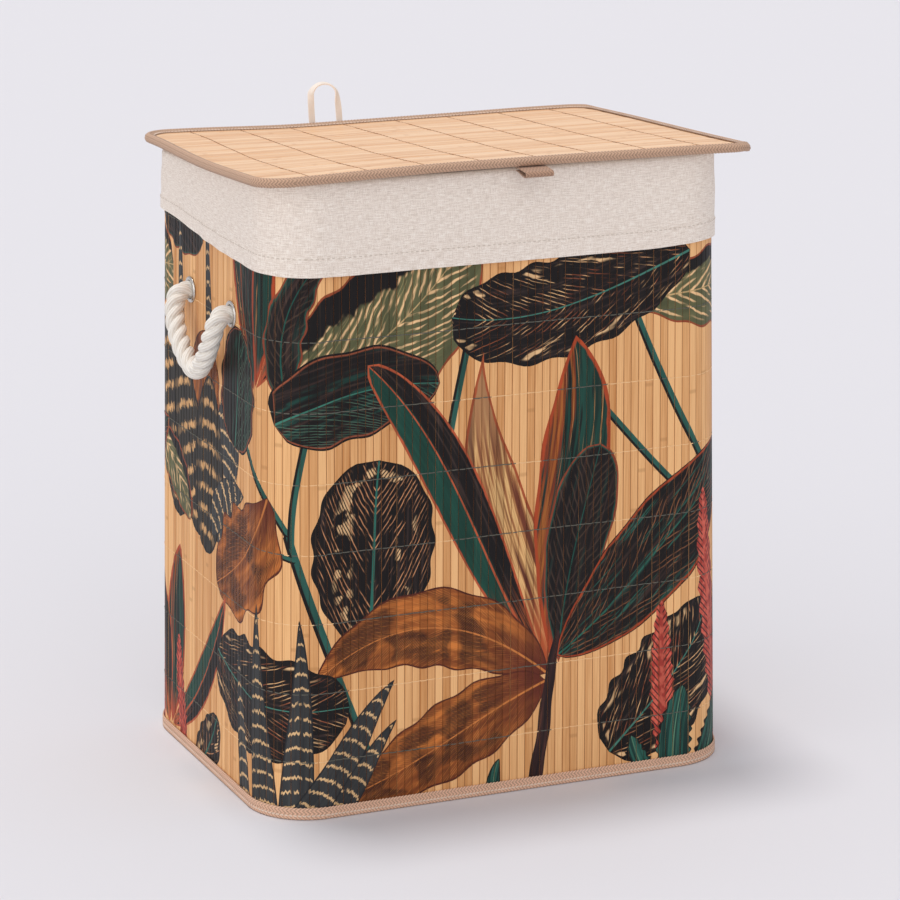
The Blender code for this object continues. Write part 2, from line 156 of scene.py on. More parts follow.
def heading(yaw, pitch):
    flat = math.cos(pitch)
    return Vector((math.sin(yaw) * flat, math.cos(yaw) * flat, -math.sin(pitch)))


def make_camera():
    data = bpy.data.cameras.new("camera")
    data.lens, data.sensor_width, data.clip_end = CAMERA_LENS, 36.0, 100
    camera = add_object("camera", data)
    away = heading(CAMERA_BEARING, CAMERA_HEIGHT_ANGLE) * CAMERA_DISTANCE
    yaw, pitch, roll = CAMERA_AIM
    forward, level = heading(yaw, pitch), Vector((math.cos(yaw), -math.sin(yaw), 0))
    right = math.cos(roll) * level + math.sin(roll) * level.cross(forward)
    turn = Matrix((right, right.cross(forward), -forward)).transposed().to_4x4()
    camera.matrix_world = Matrix.Translation(Vector(CAMERA_TARGET) - away) @ turn
    bpy.context.scene.camera = camera


def soft_sun(name, comes_from, power, spread, colour):
    """An even light over the whole floor; spread is its width in degrees."""
    data = bpy.data.lights.new(name, "SUN")
    data.energy, data.color, data.angle = power, colour, math.radians(spread)
    lamp = add_object(name, data)
    lamp.rotation_euler = Vector(comes_from).to_track_quat("Z", "Y").to_euler()


def make_studio():
    world = bpy.data.worlds.new("studio")
    bpy.context.scene.world = world
    world.use_nodes = True
    background = world.node_tree.nodes["Background"]
    background.inputs["Color"].default_value = linear((236, 235, 240))
    background.inputs["Strength"].default_value = 0.70
    bpy.context.scene.view_settings.view_transform = "Standard"
    soft_sun("key", (-0.8, -2.0, 1.0), 0.68, 70, (1.0, 0.985, 0.95))
    soft_sun("side", (-2.5, -0.3, 0.6), 0.52, 40, (1.0, 0.985, 0.95))
    soft_sun("overhead", (-0.06, 0.13, 1.0), 1.34, 12, (1.0, 0.99, 0.98))
    bpy.ops.mesh.primitive_plane_add(size=60)
    floor = bpy.context.object
    floor.name = "floor"
    floor.data.materials.append(Paint("floor_paper", 0.9).done((219, 218, 222)))


# ---------------- node materials

class Value:
    """What a node puts out. Signs between values make more nodes."""

    def __init__(self, paint, socket):
        self.paint, self.socket = paint, socket

    def __add__(self, other):
        return self.paint.math("ADD", self, other)

    def __sub__(self, other):
        return self.paint.math("SUBTRACT", self, other)

    def __mul__(self, other):
        return self.paint.math("MULTIPLY", self, other)

    def __abs__(self):
        return self.paint.math("ABSOLUTE", self)

    def step(self, low, high, start=0.0, end=1.0):
        """start below low, end above high, and smooth between."""
        inputs = {"Value": self, "From Min": low, "From Max": high, "To Min": start, "To Max": end}
        return self.paint.node("MapRange", inputs, interpolation_type="SMOOTHSTEP")


class Paint:
    """One Principled material, with short names for the nodes that feed it."""

    def __init__(self, name, roughness, **sockets):
        self.material = bpy.data.materials.new(name)
        self.material.use_nodes = True
        self.tree = self.material.node_tree
        self.shader = self.tree.nodes["Principled BSDF"]
        for key, value in {"Roughness": roughness, **sockets}.items():
            self.feed(self.shader, key.replace("_", " "), value)

    def feed(self, node, key, value):
        if isinstance(value, Value):
            self.tree.links.new(value.socket, node.inputs[key])
        else:
            node.inputs[key].default_value = value

    def node(self, kind, inputs, out=0, **settings):
        node = self.tree.nodes.new("ShaderNode" + kind)
        for key, value in settings.items():
            setattr(node, key, value)
        for key, value in inputs.items():
            self.feed(node, key, value)
        return Value(self, node.outputs[out])

    def math(self, operation, a, b=0.0):
        return self.node("Math", {0: a, 1: b}, operation=operation)

    def mix(self, share, a, b, blend="MIX"):
        inputs = {0: share, 6: linear(a), 7: linear(b)}
        return self.node("Mix", inputs, out=2, data_type="RGBA", blend_type=blend)

    def join(self, *parts):
        return self.node("CombineXYZ", dict(enumerate(parts)))

    def corners(self, name):
        """The three numbers that the mesh holds under this name."""
        vector = self.node("Attribute", {}, out=1, attribute_name=name)
        return [self.node("SeparateXYZ", {0: vector}, out=axis) for axis in range(3)]

    def position(self, *scale):
        """Where the surface is, drawn out by a scale for each axis."""
        inputs = {0: self.node("NewGeometry", {}), 1: scale or (1, 1, 1)}
        return self.node("VectorMath", inputs, operation="MULTIPLY")

    def noise(self, spot, detail=2.0, roughness=0.5, scale=1.0):
        """Noise at a vector, or at two or three numbers."""
        spot = self.join(*spot) if isinstance(spot, tuple) else spot
        inputs = {"Vector": spot, "Scale": scale, "Detail": detail, "Roughness": roughness}
        return self.node("TexNoise", inputs)

    def ramp(self, value, *stops):
        """Colours at places from 0 to 1, as (place, colour) pairs."""
        node = self.tree.nodes.new("ShaderNodeValToRGB")
        elements = node.color_ramp.elements
        while len(elements) < len(stops):
            elements.new(1.0)
        for element, (place, colour) in zip(elements, stops):
            element.position, element.color = place, linear(colour)
        self.feed(node, 0, value)
        return Value(self, node.outputs[0])

    def lines(self, phase, width, soft=0.12):
        """1 on lines where phase is whole, each width of a period wide."""
        return self.math("PINGPONG", phase, 0.5).step(width / 2, width / 2 + soft, 1.0, 0.0)

    def done(self, colour, height=None, relief=0.0, strength=1.0):
        """The material in this colour, with bumps that stand relief metres up where height is 1."""
        self.feed(self.shader, "Base Color", linear(colour))
        if height:
            inputs = {"Height": height, "Distance": relief, "Strength": strength}
            self.feed(self.shader, "Normal", self.node("Bump", inputs))
        return self.material


# ---------------- lines, waves and meshes

def smooth(low, high, value):
    share = np.clip((value - low) / (high - low), 0, 1)
    return share * share * (3 - 2 * share)


def waves(points, scale, seed):
    """Smooth random heights, about -1 to 1, at points; scale holds waves per metre by axis."""
    scaled = np.asarray(points).reshape(-1, 3) * scale + (seed * 7.7, seed * 3.1, seed * 5.3)
    return np.array([noise.noise(p) for p in scaled]).reshape(np.asarray(points).shape[:-1])


def travel_along(line, closed=False):
    line = np.concatenate((line, line[:1])) if closed else line
    return np.concatenate(([0], np.cumsum(np.linalg.norm(np.diff(line, axis=0), axis=1))))


def resampled(line, spacing):
    """The line again with evenly spaced points."""
    travel = travel_along(line)
    places = np.linspace(0, travel[-1], max(2, round(travel[-1] / spacing) + 1))
    return np.stack([np.interp(places, travel, column) for column in line.T], 1)


def smooth_route(route, spacing):
    """Points about spacing apart on a Catmull-Rom curve through the route."""
    route = np.asarray(route, float)
    ends = np.concatenate(([2 * route[0] - route[1]], route, [2 * route[-1] - route[-2]]))
    fine = []
    for a, b, c, d in zip(ends, ends[1:], ends[2:], ends[3:]):
        t = np.linspace(0, 1, 40, endpoint=False)[:, None]
        fine.append(0.5 * (2 * b + (c - a) * t + (2 * a - 5 * b + 4 * c - d) * t ** 2
                           + (3 * b - a - 3 * c + d) * t ** 3))
    return resampled(np.concatenate(fine + [route[-1:]]), spacing)


def unit(vectors):
    return vectors / np.linalg.norm(vectors, axis=-1, keepdims=True)


def numbers(*parts):
    """Up to three numbers for each point of a grid, from arrays that spread over it."""
    return np.stack(np.broadcast_arrays(*parts, *[0.0] * (3 - len(parts))), -1)


def outline(walk, half, radius):
    """Centre of curvature and outward direction of a rounded rectangle, at metres walked
    anticlockwise from the left end of its front. Flat runs have their centre radius inside."""
    flat_x, flat_y, arc = half[0] - radius, half[1] - radius, radius * math.pi / 2
    turn, rest = np.divmod(walk, 2 * (flat_x + flat_y + arc))
    past_corner = rest - 2 * flat_x - arc
    bend = np.clip(past_corner + arc, 0, arc) + np.clip(past_corner - 2 * flat_y, 0, arc)
    angle = bend / radius - math.pi / 2
    facing = 1 - 2 * (turn % 2)
    centre = numbers(np.clip(rest, 0, 2 * flat_x) - flat_x,
                     np.clip(past_corner, 0, 2 * flat_y) - flat_y)
    outward = numbers(np.cos(angle), np.sin(angle))
    return centre * facing[..., None], outward * facing[..., None]


def divided(half, radius, counts, start=0.0):
    """Metres walked to the divisions of the rectangle's eight runs, from start on. counts is for
    each kind of run: a long side, a corner and a short side."""
    lengths = (2 * (half[0] - radius), radius * math.pi / 2, 2 * (half[1] - radius))
    runs = []
    for kind in (0, 1, 2, 1) * 2:
        runs.append(start + lengths[kind] * np.arange(counts[kind] + 1) / counts[kind])
        start += lengths[kind]
    return runs


class Loop:
    """Points round a rounded rectangle. steps is the metres between them, or how many a long
    side, a corner and a short side have."""

    def __init__(self, half, radius, steps, centre_y=0.0):
        if isinstance(steps, float):
            runs = divided(half, radius, (1, 1, 1))[:3]
            steps = [max(2, round(np.ptp(run) / steps)) for run in runs]
        self.steps, self.radius = steps, radius
        walk = np.concatenate([run[:-1] for run in divided(half, radius, steps)])
        centres, self.outward = outline(walk, half, radius)
        self.centres = centres + (0, centre_y, 0)

    def ring(self, offset, z):
        """Points offset outside the rectangle, at height z, which may differ by point."""
        ring = self.centres + self.outward * (self.radius + offset)
        ring[:, 2] = z
        return ring


def finish_piece(obj, body, replaced):
    if isinstance(body, str):
        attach(obj, body)
    else:
        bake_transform(obj)
    if replaced:
        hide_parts(*replaced)
    return obj


class Collector:
    """Gathers points, faces and numbers for the corners of faces, and makes one mesh of them."""

    def __init__(self):
        self.points, self.faces, self.slots, self.corners = [], [], [], {}

    def add(self, points, faces, slots, **corners):
        start = len(self.points)
        self.points.extend(points)
        self.faces.extend([tuple(int(i) + start for i in face) for face in faces])
        self.slots.extend(slots)
        for name, values in corners.items():
            self.corners.setdefault(name, []).extend(values)

    def grid(self, points, measure, wrap_rows=False, wrap_columns=False, turn=False, even=False):
        """Quads over rows and columns of points. measure has one row or column more where the
        grid closes on itself, so that its numbers don't run back over the seam. With even, all
        corners of a face have the same numbers."""
        rows, columns = points.shape[:2]
        down = np.arange(rows if wrap_rows else rows - 1)
        across = np.arange(columns if wrap_columns else columns - 1)
        r, c = (a.ravel() for a in np.meshgrid(down, across, indexing="ij"))
        ends = [(r, c), (r, c + 1), (r + 1, c + 1), (r + 1, c)]
        if turn:
            ends.reverse()
        faces = np.stack([(a % rows) * columns + b % columns for a, b in ends], 1)
        values = np.stack([measure[a, b] for a, b in ([(r, c)] * 4 if even else ends)], 1)
        self.add(points.reshape(-1, 3).tolist(), faces.tolist(), [0] * len(faces),
                 cloth=values.reshape(-1, 3).tolist())
        return self

    def caps(self, points, measure, turn=False):
        """A face over each end of a tube of rings."""
        for end in (0, -1):
            ring = list(range(points.shape[1]))
            if (end == 0) != turn:
                ring.reverse()
            self.add(points[end].tolist(), [ring], [0], cloth=measure[end, :len(ring)].tolist())

    def sheet(self, middle, thickness, measure, wrap=False):
        """A closed cloth: two skins about its middle surface, and the edges between them."""
        if wrap:
            across = np.roll(middle, -1, axis=1) - np.roll(middle, 1, axis=1)
        else:
            across = np.gradient(middle, axis=1)
        half = np.broadcast_to(np.asarray(thickness) / 2, len(middle))[:, None, None]
        outward = unit(np.cross(across, np.gradient(middle, axis=0))) * half
        over, under = middle + outward, middle - outward
        measures = np.concatenate((measure, measure[::-1], measure[:1]))
        self.grid(np.concatenate((over, under[::-1])), measures, wrap_rows=True, wrap_columns=wrap)
        for column, turn in () if wrap else ((0, False), (-1, True)):
            edge = np.stack((over[:, column], under[:, column]))
            self.grid(edge, np.stack((measure[:, column], measure[:, column])), turn=turn)
        return self

    def tube(self, line, radius, sides):
        """A round tube along a line; radius may be a rows by sides array."""
        first, second = frames_along(line)
        angle = np.linspace(0, 2 * math.pi, sides, endpoint=False)[:, None]
        ring = first[:, None] * np.cos(angle) + second[:, None] * np.sin(angle)
        points = line[:, None] + ring * np.broadcast_to(radius, (len(line), sides))[..., None]
        measure = numbers(travel_along(line)[:, None], np.linspace(0, 1, sides + 1)[None])
        self.grid(points, measure, wrap_columns=True)
        self.caps(points, measure)
        return self

    def build(self, name, materials, slot, body, replaced=(), angle=60, settled=False):
        mesh = bpy.data.meshes.new(name)
        mesh.from_pydata(settle(self.points) if settled else self.points, [], self.faces)
        used = sorted(set(self.slots))
        for number in used:
            mesh.materials.append(materials[number])
        mesh.polygons.foreach_set("material_index", [used.index(n) for n in self.slots])
        for key, values in self.corners.items():
            layer = mesh.attributes.new(key, "FLOAT_VECTOR", "CORNER")
            layer.data.foreach_set("vector", np.array(values, np.float32).ravel())
        joined = bmesh.new()
        joined.from_mesh(mesh)
        bmesh.ops.remove_doubles(joined, verts=joined.verts, dist=0.000002)
        joined.to_mesh(mesh)
        joined.free()
        mesh.update()
        mesh.shade_smooth()
        mesh.set_sharp_from_angle(angle=math.radians(angle))
        return finish_piece(add_object(name, mesh), body, replaced)


def frames_along(line):
    """Two directions square to the line at each of its points, without twist."""
    tangent = unit(np.gradient(line, axis=0))
    side = np.cross(tangent[0], (0.0, 0.0, 1.0) if abs(tangent[0][2]) < 0.9 else (1.0, 0.0, 0.0))
    first = []
    for direction in tangent:
        side = unit(side - direction * side.dot(direction))
        first.append(side)
    return np.array(first), np.cross(tangent, first)


# ---------------- the unrolled wall

def around(s):
    """Centre of curvature and outward direction of the rim's outline at s."""
    return outline(s + FLAT_X, RIM_HALF, CORNER)


def slat_edges():
    """Left and right limits of the slats of every run, from the left end of the front."""
    runs = divided(RIM_HALF, CORNER, (SLATS_FRONT, SLATS_CORNER, SLATS_SIDE), -FLAT_X)
    return [np.stack((run[:-1], run[1:]), 1) for run in runs]


class Leaf:
    """One printed leaf, blade or stem: a bent spine with a width to each side."""

    SAMPLES = 49

    def __init__(self, kind, base, tip, width, bend, blunt, wave=0.0, ripples=4):
        """Places in millimetres on the unrolled wall. bend moves the spine's two inner control
        points sideways by a share of its length, and blunt rounds the base and the tip, 0 most."""
        base, tip = np.array(base) / 1000, np.array(tip) / 1000
        chord = tip - base
        side = np.array((-chord[1], chord[0]))
        first, second = base + chord / 3 + side * bend[0], tip - chord / 3 + side * bend[1]
        self.kind = kind
        self.share = t = np.linspace(0, 1, self.SAMPLES)
        rest = 1 - t
        self.spine = (np.outer(rest ** 3, base) + np.outer(3 * rest ** 2 * t, first)
                      + np.outer(3 * rest * t ** 2, second) + np.outer(t ** 3, tip))
        self.along = unit(np.gradient(self.spine, axis=0))
        self.across = np.stack((-self.along[:, 1], self.along[:, 0]), 1)
        self.travel = travel_along(self.spine)
        shape = t ** blunt[0] * rest ** blunt[1]
        half = width / 2000 * shape / shape.max()
        phase = 2 * math.pi * ripples * t + 40 * base[0] + 170 * tip[1]
        self.halves = [half * (1 + wave * np.sin(phase + shift)) for shift in (0.0, 2.1)]
        self.seed = (base[0] * 37.3 + tip[1] * 91.7) % 1.0
        self.left = self.spine + self.across * self.halves[0][:, None]
        self.right = self.spine - self.across * self.halves[1][:, None]
        self.outline = np.concatenate((self.left, self.right[-2:0:-1]))

    def guides(self):
        """Segments that the slats' faces are cut along: outline, midrib and some cross lines."""
        middle = self.spine[::4]
        cross = np.stack((self.left[6:-5:6], self.right[6:-5:6]), 1)
        return np.concatenate((np.stack((self.outline, np.roll(self.outline, -1, 0)), 1),
                               np.stack((middle[:-1], middle[1:]), 1), cross))

    def holds(self, points):
        """Which points lie inside the outline."""
        a, b = self.outline, np.roll(self.outline, -1, 0)
        inside = ((points > a.min(0)) & (points < a.max(0))).all(1)
        x, y = points[inside].T[:, :, None]
        spans = (a[:, 1] > y) != (b[:, 1] > y)
        rise = np.where(b[:, 1] == a[:, 1], 1e-12, b[:, 1] - a[:, 1])
        cut = a[:, 0] + (y - a[:, 1]) * (b[:, 0] - a[:, 0]) / rise
        inside[inside] = (spans & (x < cut)).sum(1) % 2 == 1
        return inside

    def measures(self, points):
        """Metres along, across and in from the edge, then the shares of length and half width."""
        gaps = points[:, None] - self.spine
        nearest = (gaps ** 2).sum(2).argmin(1)
        offset = gaps[np.arange(len(points)), nearest]
        across = (offset * self.across[nearest]).sum(1)
        travel = self.travel[nearest] + (offset * self.along[nearest]).sum(1)
        share = np.interp(travel, self.travel, self.share)
        left, right = [np.interp(share, self.share, half) for half in self.halves]
        half = np.where(across > 0, left, right)
        reach = np.clip(across / np.maximum(half, 1e-5), -1, 1)
        return (numbers(travel, across, np.maximum(half - abs(across), 0)),
                numbers(share, reach, self.seed))


LEAVES = [Leaf("stem", *places, (0.02, 0.02)) for places in (
    ((-122, 50), (-188, 240), 7.5, (0.02, 0.02)),
    ((-186, 236), (-252, 318), 6, (-0.04, 0.0)),
    ((-184, 226), (-170, 330), 5.5, (0.06, 0.02)),
    ((-180, 216), (-256, 244), 5, (0.03, 0.0)),
    ((-54, 292), (-34, 392), 6.5, (0.02, 0.0)),
    ((183, 254), (114, 394), 6.5, (0.02, 0.02)),
    ((154, 244), (82, 322), 6, (0.02, 0.0)),
    ((-176, 340), (-172, 430), 5, (0.0, 0.03)))]
LEAVES += [Leaf(*row) for row in (
    # left side and its corner
    ("night", (-440, 470), (-338, 444), 78, (0.12, 0.1), (0.4, 0.5), 0.04),
    ("blade", (-386, 330), (-396, 476), 15, (0.02, -0.02), (0.05, 0.6)),
    ("blade", (-316, 290), (-332, 478), 20, (0.02, -0.02), (0.05, 0.6)),
    ("flame", (-222, 350), (-272, 470), 26, (0.05, -0.06), (0.9, 0.7)),
    ("night", (-222, 350), (-240, 480), 30, (0.0, 0.06), (1.0, 0.6)),
    ("flame", (-220, 352), (-206, 480), 30, (-0.05, 0.05), (1.0, 0.6)),
    ("strap", (-218, 352), (-172, 470), 22, (-0.12, -0.08), (0.9, 0.6)),
    ("rust", (-352, 262), (-318, 372), 78, (-0.05, 0.1), (0.5, 0.6), 0.05),
    ("banded", (-392, 200), (-432, 372), 58, (-0.05, 0.0), (0.45, 0.7), 0.03),
    ("banded", (-346, 196), (-388, 356), 62, (-0.06, 0.1), (0.5, 0.6), 0.03),
    ("blade", (-312, 204), (-262, 356), 54, (-0.12, 0.05), (0.5, 0.6), 0.05),
    ("banded", (-330, 186), (-322, 338), 66, (-0.05, 0.0), (0.5, 0.6), 0.03),
    ("oval", (-264, 292), (-252, 392), 72, (-0.05, 0.05), (0.35, 0.45), 0.05),
    ("blade", (-316, 206), (-244, 256), 34, (0.2, 0.2), (0.5, 0.7), 0.03),
    ("rust", (-204, 266), (-304, 168), 88, (0.2, 0.1), (0.9, 0.7), 0.12, 4),
    ("olive", (-440, 262), (-366, 204), 44, (0.1, 0.1), (0.5, 0.6), 0.05),
    ("strap", (-408, 12), (-284, 160), 34, (-0.12, -0.1), (0.7, 0.8)),
    ("flame", (-412, 12), (-392, 176), 44, (-0.05, 0.05), (0.9, 0.8)),
    ("strap", (-418, 10), (-446, 150), 40, (0.05, -0.05), (0.8, 0.8)),
    ("calathea", (-352, -8), (-302, 52), 46, (-0.1, -0.1), (0.45, 0.5), 0.05),
    # front, upper half
    ("olive", (-184, 352), (-28, 478), 118, (-0.12, -0.1), (0.42, 0.75), 0.03, 5),
    ("night", (-186, 342), (-150, 470), 34, (0.22, 0.2), (0.5, 0.7), 0.08, 5),
    ("olive", (112, 400), (238, 412), 68, (0.06, -0.02), (0.8, 0.35), 0.05),
    ("veined", (164, 442), (-50, 404), 82, (0.06, 0.14), (0.5, 0.36), 0.05, 6),
    ("oval", (-198, 326), (-60, 352), 74, (0.12, 0.1), (0.35, 0.5), 0.05, 3),
    # the plant in the middle
    ("flame_pale", (36, 106), (-22, 374), 55, (0.02, 0.12), (1.0, 1.35), 0.02),
    ("strap", (34, 104), (-122, 372), 44, (0.02, -0.1), (0.8, 0.52)),
    ("flame", (40, 104), (60, 380), 62, (0.07, -0.1), (1.5, 0.9), 0.03),
    ("night", (46, 106), (83, 288), 58, (0.06, 0.02), (1.0, 0.5), 0.02),
    ("night_edge", (44, 112), (228, 280), 78, (-0.06, 0.04), (0.7, 0.75), 0.02),
    ("calathea", (-122, 140), (-112, 294), 104, (-0.02, 0.02), (0.5, 0.42), 0.03, 5),
    ("rust", (36, 98), (-166, 118), 66, (-0.24, -0.3), (0.7, 0.75), 0.05, 5),
    ("rust", (35, 92), (-148, 14), 66, (-0.02, 0.06), (0.6, 0.8), 0.05, 5),
    ("bark", (24, 2), (46, 134), 12, (-0.03, 0.03), (0.02, 0.3), 0.1, 3),
    # foot
    ("veined", (-300, 112), (-138, 92), 92, (-0.1, -0.05), (0.4, 0.45), 0.06, 5),
    ("veined", (92, 22), (184, 146), 86, (-0.05, -0.12), (0.4, 0.5), 0.06, 6),
    ("blade", (-206, -14), (-216, 176), 27, (0.0, 0.03), (0.05, 0.75)),
    ("blade", (-234, -14), (-252, 128), 24, (0.0, 0.03), (0.05, 0.75)),
    ("blade", (-181, -14), (-178, 168), 27, (0.0, -0.03), (0.05, 0.75)),
    ("blade", (-182, -10), (-99, 110), 30, (-0.06, 0.05), (0.3, 0.8)),
    ("blade", (-160, -10), (-97, 76), 20, (-0.06, 0.05), (0.3, 0.8)),
    ("teal", (-12, -4), (-6, 30), 13, (0.05, 0.1), (0.3, 0.7)),
    ("spike", (146, 6), (139, 148), 21, (0.03, 0.02), (0.25, 0.5), 0.16, 12),
    ("spike", (212, 0), (179, 240), 25, (0.02, 0.04), (0.3, 0.5), 0.16, 13),
    ("teal", (150, -6), (159, 72), 30, (0.05, 0.05), (0.3, 0.6), 0.12, 8),
    ("teal", (176, -6), (204, 58), 30, (-0.05, -0.05), (0.3, 0.6), 0.12, 8),
    ("teal", (128, -6), (112, 34), 18, (0.05, 0.05), (0.3, 0.6), 0.2, 6),
    ("spike", (268, -8), (252, 96), 18, (0.02, 0.04), (0.3, 0.5), 0.16, 11))]

# The print comes again at each half turn round the basket.
PRINTS = [(leaf, np.array((turn * HALF_TURN, 0))) for leaf in LEAVES for turn in (-1, 0, 1, 2)]
GUIDES = [leaf.guides() + shift for leaf, shift in PRINTS]
EDGES = [(leaf.outline + shift)[:, 0] for leaf, shift in PRINTS]
LEFTS, RIGHTS = np.min(EDGES, axis=1), np.max(EDGES, axis=1)


def prints_between(low, high):
    return np.flatnonzero((LEFTS < high) & (RIGHTS > low))


def top_print(points, candidates):
    """Which print shows at each point, or -1 for bare bamboo. Later prints cover earlier ones."""
    top = np.full(len(points), -1)
    for i in reversed(candidates):
        free = np.flatnonzero(top < 0)
        leaf, shift = PRINTS[i]
        top[free[leaf.holds(points[free] - shift)]] = i
    return top


def clip_segments(segments, low, high):
    """The parts of segments inside a box."""
    start, run = segments[:, 0], segments[:, 1] - segments[:, 0]
    run = np.where(abs(run) < 1e-12, 1e-12, run)
    first, second = (low - start) / run, (high - start) / run
    enter = np.maximum(np.minimum(first, second).max(1), 0)[:, None]
    leave = np.minimum(np.maximum(first, second).min(1), 1)[:, None]
    kept = (leave - enter)[:, 0] > 1e-6
    return np.stack((start + run * enter, start + run * leave), 1)[kept]


COLUMNS = np.array((-1.0, -0.86, -0.4, 0.4, 0.86, 1.0))      # across a slat, in half widths
CROWN = np.array((0.00050, 0.00010, 0.0, 0.0, 0.00010, 0.00050))   # how far it drops there


def divide_slat(left, right, holes):
    """Points (s, z) and triangles of one slat's face, cut along the prints and round the holes,
    and which print shows on each triangle."""
    columns = (left + right) / 2 + COLUMNS * (right - left) / 2
    outlines = [((s, WALL_LOW), (s, WALL_HIGH)) for s in columns]
    outlines += [((a, z), (b, z)) for z in (WALL_LOW, WALL_HIGH)
                 for a, b in zip(columns, columns[1:])]
    candidates = prints_between(left, right)
    cuts = [GUIDES[i] for i in candidates]
    angles = np.linspace(0, 2 * math.pi, 25)
    for hole in holes:
        ring = hole + HOLE_RADIUS * np.stack((np.cos(angles), np.sin(angles)), 1)
        cuts.append(np.stack((ring[:-1], ring[1:]), 1))
    low, high = np.array((left, WALL_LOW)), np.array((right, WALL_HIGH))
    segments = np.concatenate([outlines, *[clip_segments(cut, low, high) for cut in cuts]])
    ends = [Vector(p) for p in segments.reshape(-1, 2) * 1000]
    edges = [(i, i + 1) for i in range(0, len(ends), 2)]
    found = delaunay_2d_cdt(ends, edges, [], 0, 0.004, False)
    points, triangles = np.array([p[:] for p in found[0]]) / 1000, np.array(found[2])
    for hole in holes:
        gaps = np.linalg.norm(points[triangles].mean(1) - hole, axis=1)
        triangles = triangles[gaps > HOLE_RADIUS * 0.995]
    return points, triangles, top_print(points[triangles].mean(1), candidates)


def chain(edges):
    """One closed loop of points from its directed edges."""
    following = dict(edges)
    loop = [edges[0][0]]
    while len(loop) < len(edges):
        loop.append(following[loop[-1]])
    return loop


def add_slat(mesh, left, right, in_corner, holes):
    points, triangles, top = divide_slat(left, right, holes)
    middle, half = (left + right) / 2, (right - left) / 2
    anchor, outward = around(middle)
    tangent = np.array((-outward[1], outward[0], 0))
    tone, lean, bow = rng.random(), rng.normal(0, SLAT_LEAN), rng.normal(0, SLAT_BOW)
    share = (points[:, 0] - middle) / half
    lift = flare_at(points[:, 1])
    sideways = share * (half - SLAT_GAP / 2) * (1 + lift / CORNER if in_corner else 1.0)
    out = CORNER + lift - np.interp(share, COLUMNS, CROWN) + lean * sideways + bow
    skins = []
    for depth in (out, CORNER + lift - SLAT_THICK):
        skin = anchor + np.outer(depth, outward) + np.outer(sideways, tangent)
        skin[:, 2] = points[:, 1]
        skins += skin.tolist()

    count, fronts = len(points), triangles.tolist()
    directed = {(t[i], t[(i + 1) % 3]) for t in fronts for i in range(3)}
    rim = [(a, b) for a, b in directed if (b, a) not in directed]
    sides = [(b, a, a + count, b + count) for a, b in rim]
    if len(holes):
        backs = [(c + count, b + count, a + count) for a, b, c in fronts]
    else:
        backs = [tuple(i + count for i in reversed(chain(rim)))]
    kinds = [KIND_NAMES.index(PRINTS[i][0].kind) + 1 if i >= 0 else 0 for i in top]

    metres, shares = np.zeros((2, len(triangles), 3, 3))
    for i in set(top.tolist()) - {-1}:
        leaf, shift = PRINTS[i]
        found = leaf.measures(points[triangles[top == i]].reshape(-1, 2) - shift)
        metres[top == i], shares[top == i] = [part.reshape(-1, 3, 3) for part in found]
    blank = np.zeros((sum(len(face) for face in sides + backs), 3))
    slat = numbers(tone, abs(share[triangles.ravel()]), points[triangles.ravel(), 1])
    mesh.add(skins, fronts + sides + backs, kinds + [0] * (len(sides) + len(backs)),
             leaf_metres=np.concatenate((metres.reshape(-1, 3), blank)),
             leaf_share=np.concatenate((shares.reshape(-1, 3), blank)),
             slat=np.concatenate((slat, blank + (tone, 0, 0))))


WALL_RUNS = ("slat_wall_front", "slat_corner_front_right", "slat_wall_right",
             "slat_corner_rear_right", "slat_wall_rear", "slat_corner_rear_left",
             "slat_wall_left", "slat_corner_front_left")


def side_position(side, y):
    """s of a point of the left or right side at this y."""
    right = FLAT_X + ARC + FLAT_Y + y
    return right if side > 0 else right + HALF_TURN - 2 * y


def build_walls():
    holes = np.array([(side_position(side, HANDLE_Y + end * EYELET_HALF_SPACING), EYELET_Z)
                      for side in SIDES.values() for end in (-1, 1)])
    materials = [bare_bamboo()] + [printed(kind) for kind in KINDS]
    for name, slats in zip(WALL_RUNS, slat_edges()):
        mesh = Collector()
        for left, right in slats:
            near = holes[(holes[:, 0] > left - HOLE_RADIUS) & (holes[:, 0] < right + HOLE_RADIUS)]
            add_slat(mesh, left, right, "corner" in name, near)
        mesh.build(name.replace("slat", "printed"), materials, "printed_bamboo", "basket", [name],
                   angle=30, settled=True)


def build_threads():
    """The rows of thread that tie the slats, each a flattened line over every slat's face."""
    mesh = Collector()
    edges = np.concatenate(slat_edges())
    shares = np.array((-0.93, -0.55, 0.0, 0.55, 0.93))
    s = (edges.mean(1)[:, None] + shares * np.diff(edges) / 2).ravel()
    out = np.tile((-0.00045, 0.0001, 0.00022, 0.0001, -0.00045), len(edges))[:, None]
    anchor, outward = around(s[:, None])
    angle = np.linspace(0, 2 * math.pi, 6, endpoint=False)
    for row, z in enumerate(THREAD_ROWS):
        top = [top_print(part, prints_between(part[0, 0], part[-1, 0]))
               for part in np.array_split(numbers(s, z)[:, :2], 40)]
        drift = 0.0003 * np.sin(s * 31 + row * 2.2) + 0.00012 * np.sin(s * 460 + row)
        reach = CORNER + flare_at(z) + out + 0.0002 * np.cos(angle)
        points = anchor + outward * reach[..., None]
        points[..., 2] = z + drift[:, None] + 0.00045 * np.sin(angle)
        measure = numbers((np.concatenate(top) >= 0)[:, None], s[:, None], np.full(6, z))
        mesh.grid(points, measure, wrap_rows=True, wrap_columns=True, turn=True, even=True)
    mesh.build("wall_threads", [thread_paint()], "printed_bamboo", "basket", settled=True)


# ---------------- bamboo and its print

CREAM, RUST, TEAL, INK = (232, 190, 140), (160, 66, 36), (26, 78, 68), (22, 19, 20)


